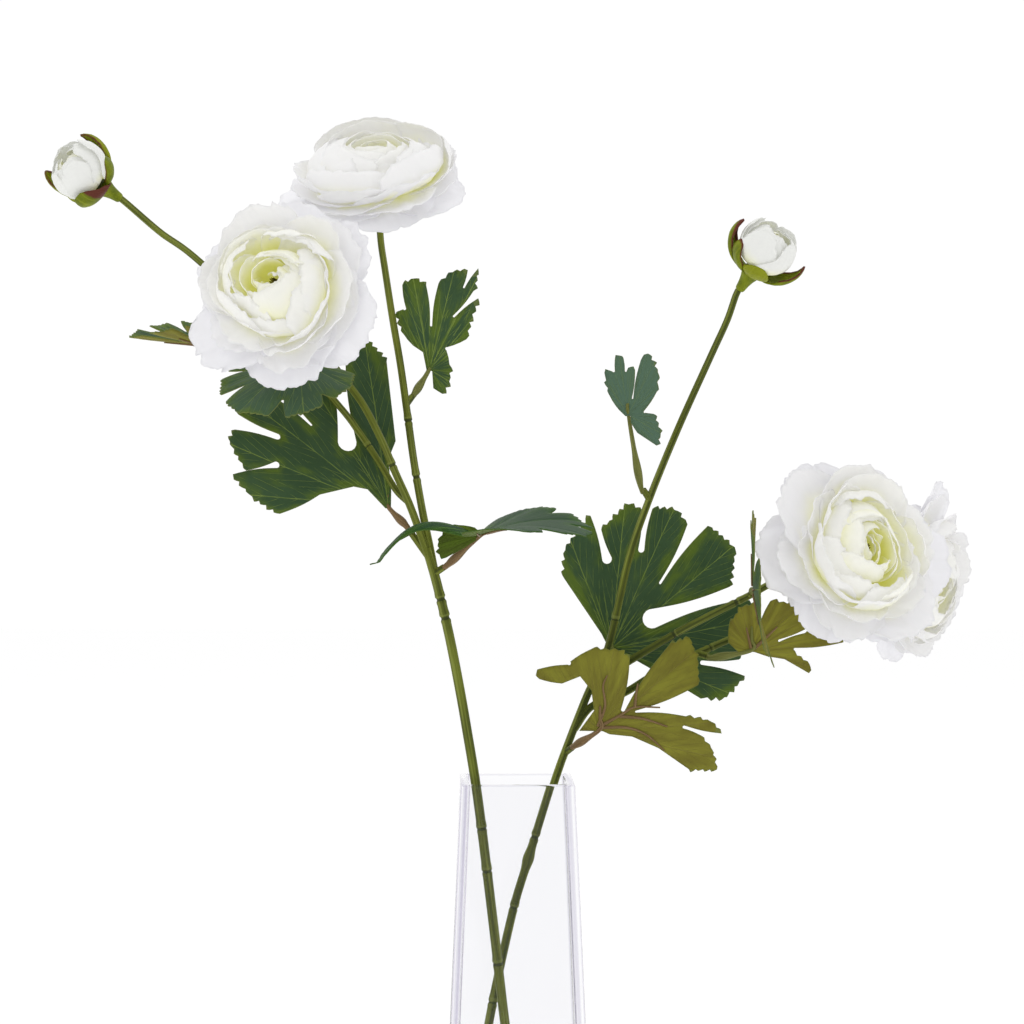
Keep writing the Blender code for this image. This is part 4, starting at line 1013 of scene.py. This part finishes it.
def edgeDistance(point, edge):  # how far inside the outline a point lies, negative outside
    inside = False
    nearest = 1e9
    for a, b in zip(edge, edge[1:] + edge[:1]):
        if (a.y > point.y) != (b.y > point.y):
            if point.x < a.x + (point.y - a.y) / (b.y - a.y) * (b.x - a.x):
                inside = not inside
        side = b - a
        share = max(0.0, min(1.0, (point - a).dot(side) / max(side.length_squared, 1e-9)))
        nearest = min(nearest, (a + side * share - point).length_squared)
    return math.sqrt(nearest) * (1 if inside else -1)


def veinPlace(x, y, tip):  # a point's distance from a lobe's midrib, and how far along it lies
    length = tip.length
    off = (x * tip.y - y * tip.x) / length
    along = (x * tip.x + y * tip.y) / length
    return (off, along) if along > 0 else (math.copysign(math.hypot(off, along * 3), off), along)


def leafShaper(leaf, tips):  # maps a flat leaf point, and a height over it, to the part's frame
    palm, face = Vector(leaf["palm"]), Vector(leaf["face"])
    axis = Vector(leaf["axis"]).normalized()
    face = (face - axis * face.dot(axis)).normalized()
    across = axis.cross(face)
    length = leafCut["length"] * leaf["size"]
    roll = leaf["arch"] * degree / length

    def shape(x, y, lift=0.0):
        reach = math.hypot(x, y) / length
        gap = min(abs(veinPlace(x, y, tip)[0]) for tip in tips)
        height = lift + leaf["fold"] * (math.sqrt(x * x + 16.0) - 4.0)
        height += leaf["wave"] * reach ** 2 * math.sin(5 * math.atan2(x, y + 8.0) + leaf["size"])
        height += leafCut["quilt"] * (1 - math.exp(-(gap / 3.5) ** 2)) * min(1.0, reach * 2)
        if "hump" in leaf:
            bearing, width, rise, end = leaf["hump"]
            nearness = math.exp(-((math.degrees(math.atan2(x, y)) - bearing) / width) ** 2)
            height += rise * nearness * math.sin(math.pi * min(1.0, math.hypot(x, y) / end))
        bent = max(y, 0.0) * roll
        along = min(y, 0.0) + math.sin(bent) / roll + height * math.sin(bent)
        rise = height * math.cos(bent) - (1 - math.cos(bent)) / roll
        return palm + across * x + axis * along + face * rise

    return shape


def fillOutline(edge):  # the flat points inside it, their depths and the triangles between them
    grid = leafCut["grid"]
    row = grid * 0.87
    reach = max(p.length for p in edge)
    rows = math.ceil(reach / row)
    points, depths = list(edge), [0.0] * len(edge)
    for j in range(-rows, rows + 1):
        for i in range(-rows, rows + 1):
            point = Vector(((i + 0.5 * (j % 2)) * grid, j * row))
            if point.length < reach:
                depth = edgeDistance(point, edge)
                if depth > grid * 0.4:
                    points.append(point)
                    depths.append(depth)
    outline = [list(range(len(edge)))]
    flat, _, triangles, origins, _, _ = geometry.delaunay_2d_cdt(points, [], outline, 1, 1e-6)
    return flat, [depths[origin[0]] if origin else 0.0 for origin in origins], triangles


def thickened(surface, triangles):  # both sides of the blade, and a rim round its open edges
    normals = [Vector() for _ in surface]
    openEdges = {}
    for a, b, c in triangles:
        normal = (surface[b] - surface[a]).cross(surface[c] - surface[a])
        for corner in (a, b, c):
            normals[corner] += normal
        for pair in ((a, b), (b, c), (c, a)):
            if openEdges.pop(pair[::-1], None) is None:
                openEdges[pair] = True
    offsets = [n.normalized() * (leafCut["thickness"] / 2) for n in normals]
    points = [p + n for p, n in zip(surface, offsets)] + [p - n for p, n in zip(surface, offsets)]
    count = len(surface)
    faces = [tuple(t) for t in triangles] + [(a + count, c + count, b + count) for a, b, c in triangles]
    return points, faces + [(end, start, start + count, end + count) for start, end in openEdges]


def leafMesh(name, leaf, draw, material):
    outline, size = leafShapes[leaf["shape"]], leaf["size"]
    flat, depths, triangles = fillOutline(leafEdge(outline, size, draw))
    crowns = [corners(crown) for crown in outline[1:-1:2]]
    tips = [sum(crown, Vector((0, 0))) / len(crown) * size for crown in crowns]
    shape = leafShaper(leaf, tips)
    mesh = newMesh(name, material, *thickened([shape(p.x, p.y) for p in flat], triangles))
    count = len(flat)
    top = 1.0 if leaf.get("swapped") else 0.0
    setNumbers(mesh, "side", [top] * count + [1.0 - top] * count)
    setNumbers(mesh, "rim", depths * 2)
    setNumbers(mesh, "tone", [draw.random()] * 2 * count)
    setNumbers(mesh, "frost", [leaf["frost"]] * 2 * count)
    veins, flatMap = (mesh.uv_layers.new(name=key) for key in ("veins", "flat"))
    for polygon in mesh.polygons:
        flatCorners = [flat[mesh.loops[loop].vertex_index % count] for loop in polygon.loop_indices]
        centre = sum(flatCorners, Vector((0, 0))) / len(flatCorners)
        tip = min(tips, key=lambda t: abs(veinPlace(centre.x, centre.y, t)[0]))
        for loop, corner in zip(polygon.loop_indices, flatCorners):
            veins.data[loop].uv = [value / uvScale for value in veinPlace(corner.x, corner.y, tip)]
            flatMap.data[loop].uv = corner / uvScale
    return mesh, shape, tips


def ribRoutes(leaf, tips):  # under each lobe, as far as the blade reaches in a straight line
    if "ribs" in leaf:
        return leaf["ribs"]
    edge = leafEdge(leafShapes[leaf["shape"]], leaf["size"], random.Random(0))
    routes = []
    for tip in tips:
        route = []
        for k in range(1, 9):
            spot = tip * (stalkShape["ribStep"] * k)
            if edgeDistance(spot, edge) < stalkShape["ribMargin"]:
                break
            route.append(tuple(spot))
        if len(route) > 3:
            routes.append(route)
    return routes


def makeLeaf(key, leaf):
    draw = random.Random(key)
    name = "leaf_" + key + "_cloth"
    s = stalkShape
    cloth, slotName, beside, thick = leafCloth, "leaf_green", -0.5, 0.6
    if key in undersideLeaves:
        cloth, slotName, beside, thick = oliveCloth, "leaf_underside_olive", 0.5, 0.85
    blade, shape, tips = leafMesh(name, leaf, draw, cloth)
    nub = Vector(leaf["nub"])
    outward = (nub - Vector(leaf["stem"])).normalized()
    route = [nub + outward * off for off in s["offStem"]] + [shape(0, y, beside) for y in s["reach"]]
    line = smoothLine(route, 0.8)
    shares = [k / (len(line) - 1) for k in range(len(line))]
    radii = [s["root"] + s["swell"] * math.sin(math.pi * min(1.0, t * 2.2)) ** 2 - s["taper"] * t ** 2
             for t in shares]
    paint = stalkPaints[leaf["stalk"]]
    meshes = [blade, skinLine("stalk", line, radii, paint, **{"Groove Depth": 0, "Sides": s["sides"]})]
    if "flap" in leaf:  # a lobe folded down beside the stalk
        folded = {**leaf, **leaf["flap"]}
        folded.pop("hump")
        meshes.append(leafMesh("flap", folded, draw, leafCloth)[0])
    for rib in ribRoutes(leaf, tips):
        line = smoothLine([shape(x, y, beside * 1.1) for x, y in rib], 1.2)
        radii = [thick * (1 - s["ribTaper"] * k / (len(line) - 1)) for k in range(len(line))]
        paint = stalkPaints["tan"]
        meshes.append(skinLine("rib", line, radii, paint, **{"Groove Depth": 0, "Sides": s["ribSides"]}))
    finishPiece(name, meshes, slotName, "leaf_" + key)


for stemSide in stems:
    makeStem(stemSide)
print("stage: stems grown")
for leafKey, leafSpec in leaves.items():
    makeLeaf(leafKey, leafSpec)
print("stage: leaves cut")


# The vase: a clear, thick-walled square block, tapered and hollow

vase = {"height": 250.0, "rimWidth": 54.5, "footWidth": 76.0, "wall": 4.2, "floor": 12.0, "edge": 0.7,
        "turn": 1.3}


def makeVase(v):
    b = newPaint("clearVase", {"Transmission Weight": 1.0, "IOR": 1.25, "Roughness": 0.0})
    smear = b.noise(b.place(), 22.0)
    slope = (v["footWidth"] - v["rimWidth"]) / v["height"]
    x, y, z = b.apart(b.place())
    along = b.low(abs(x), abs(y))
    outer = (v["footWidth"] / 2 * mm - z * (slope / 2) - along) / (v["wall"] * mm)  # from an upright edge
    # Painted refraction lines: darker lilac-grey bands near each upright edge stand in for the dark
    # refractions seen along the edges; the pale lilac between them is the glass's own tint.
    streak = b.ramp(outer, 1.10, 0.92) * b.ramp(outer, 0.52, 0.80) * 0.8 + b.ramp(outer, 0.20, 0.05) * 0.55
    tint = b.blend(streak, (0.941, 0.941, 0.953), (0.50, 0.475, 0.60))
    # the rounded edges and the rim's top are painted darker too, as painted refraction lines
    tint = b.blend(b.read("edge")[0], tint, (0.60, 0.58, 0.67))
    paint = plug(b, {"Base Color": tint, "Roughness": b.ramp(smear, 0.45, 0.9, 0.0, 0.02)})

    inner = 2 * v["wall"]
    loops = [(v["footWidth"], 0.0), (v["rimWidth"], v["height"]), (v["rimWidth"] - inner, v["height"]),
             (v["footWidth"] - slope * v["floor"] - inner, v["floor"])]
    points = [(x * width / 2, y * width / 2, height) for width, height in loops for x, y in square]
    faces = [(3, 2, 1, 0), (12, 13, 14, 15)]
    for low in (0, 4, 8):
        faces += [(low + k, low + (k + 1) % 4, low + 4 + (k + 1) % 4, low + 4 + k) for k in range(4)]
    name = "clear_vase_body"
    mesh = newMesh(name, paint, points, faces)
    mesh.transform(Matrix.Rotation(v["turn"] * degree, 4, "Z"))
    made = newObject(name, mesh)
    bevel = made.modifiers.new("edges", "BEVEL")
    bevel.width = v["edge"] * mm
    bevel.segments = 3
    bevel.limit_method = "ANGLE"
    mesh = evaluated(made)
    mesh.set_sharp_from_angle(angle=35 * degree)
    edges = []
    for face in mesh.polygons:  # the rounded edges, then the rim's flat top, both painted darker as refraction lines
        x, y, z = (abs(value) for value in face.normal)
        edges.append(0.6 if max(x, y, z) < 0.985 else 0.15 if z > 0.9 else 0.0)
    setNumbers(mesh, "edge", edges, "FACE")
    finishPiece(name, [mesh], "clear_vase", "vase")


makeVase(vase)
print("stage: vase made")
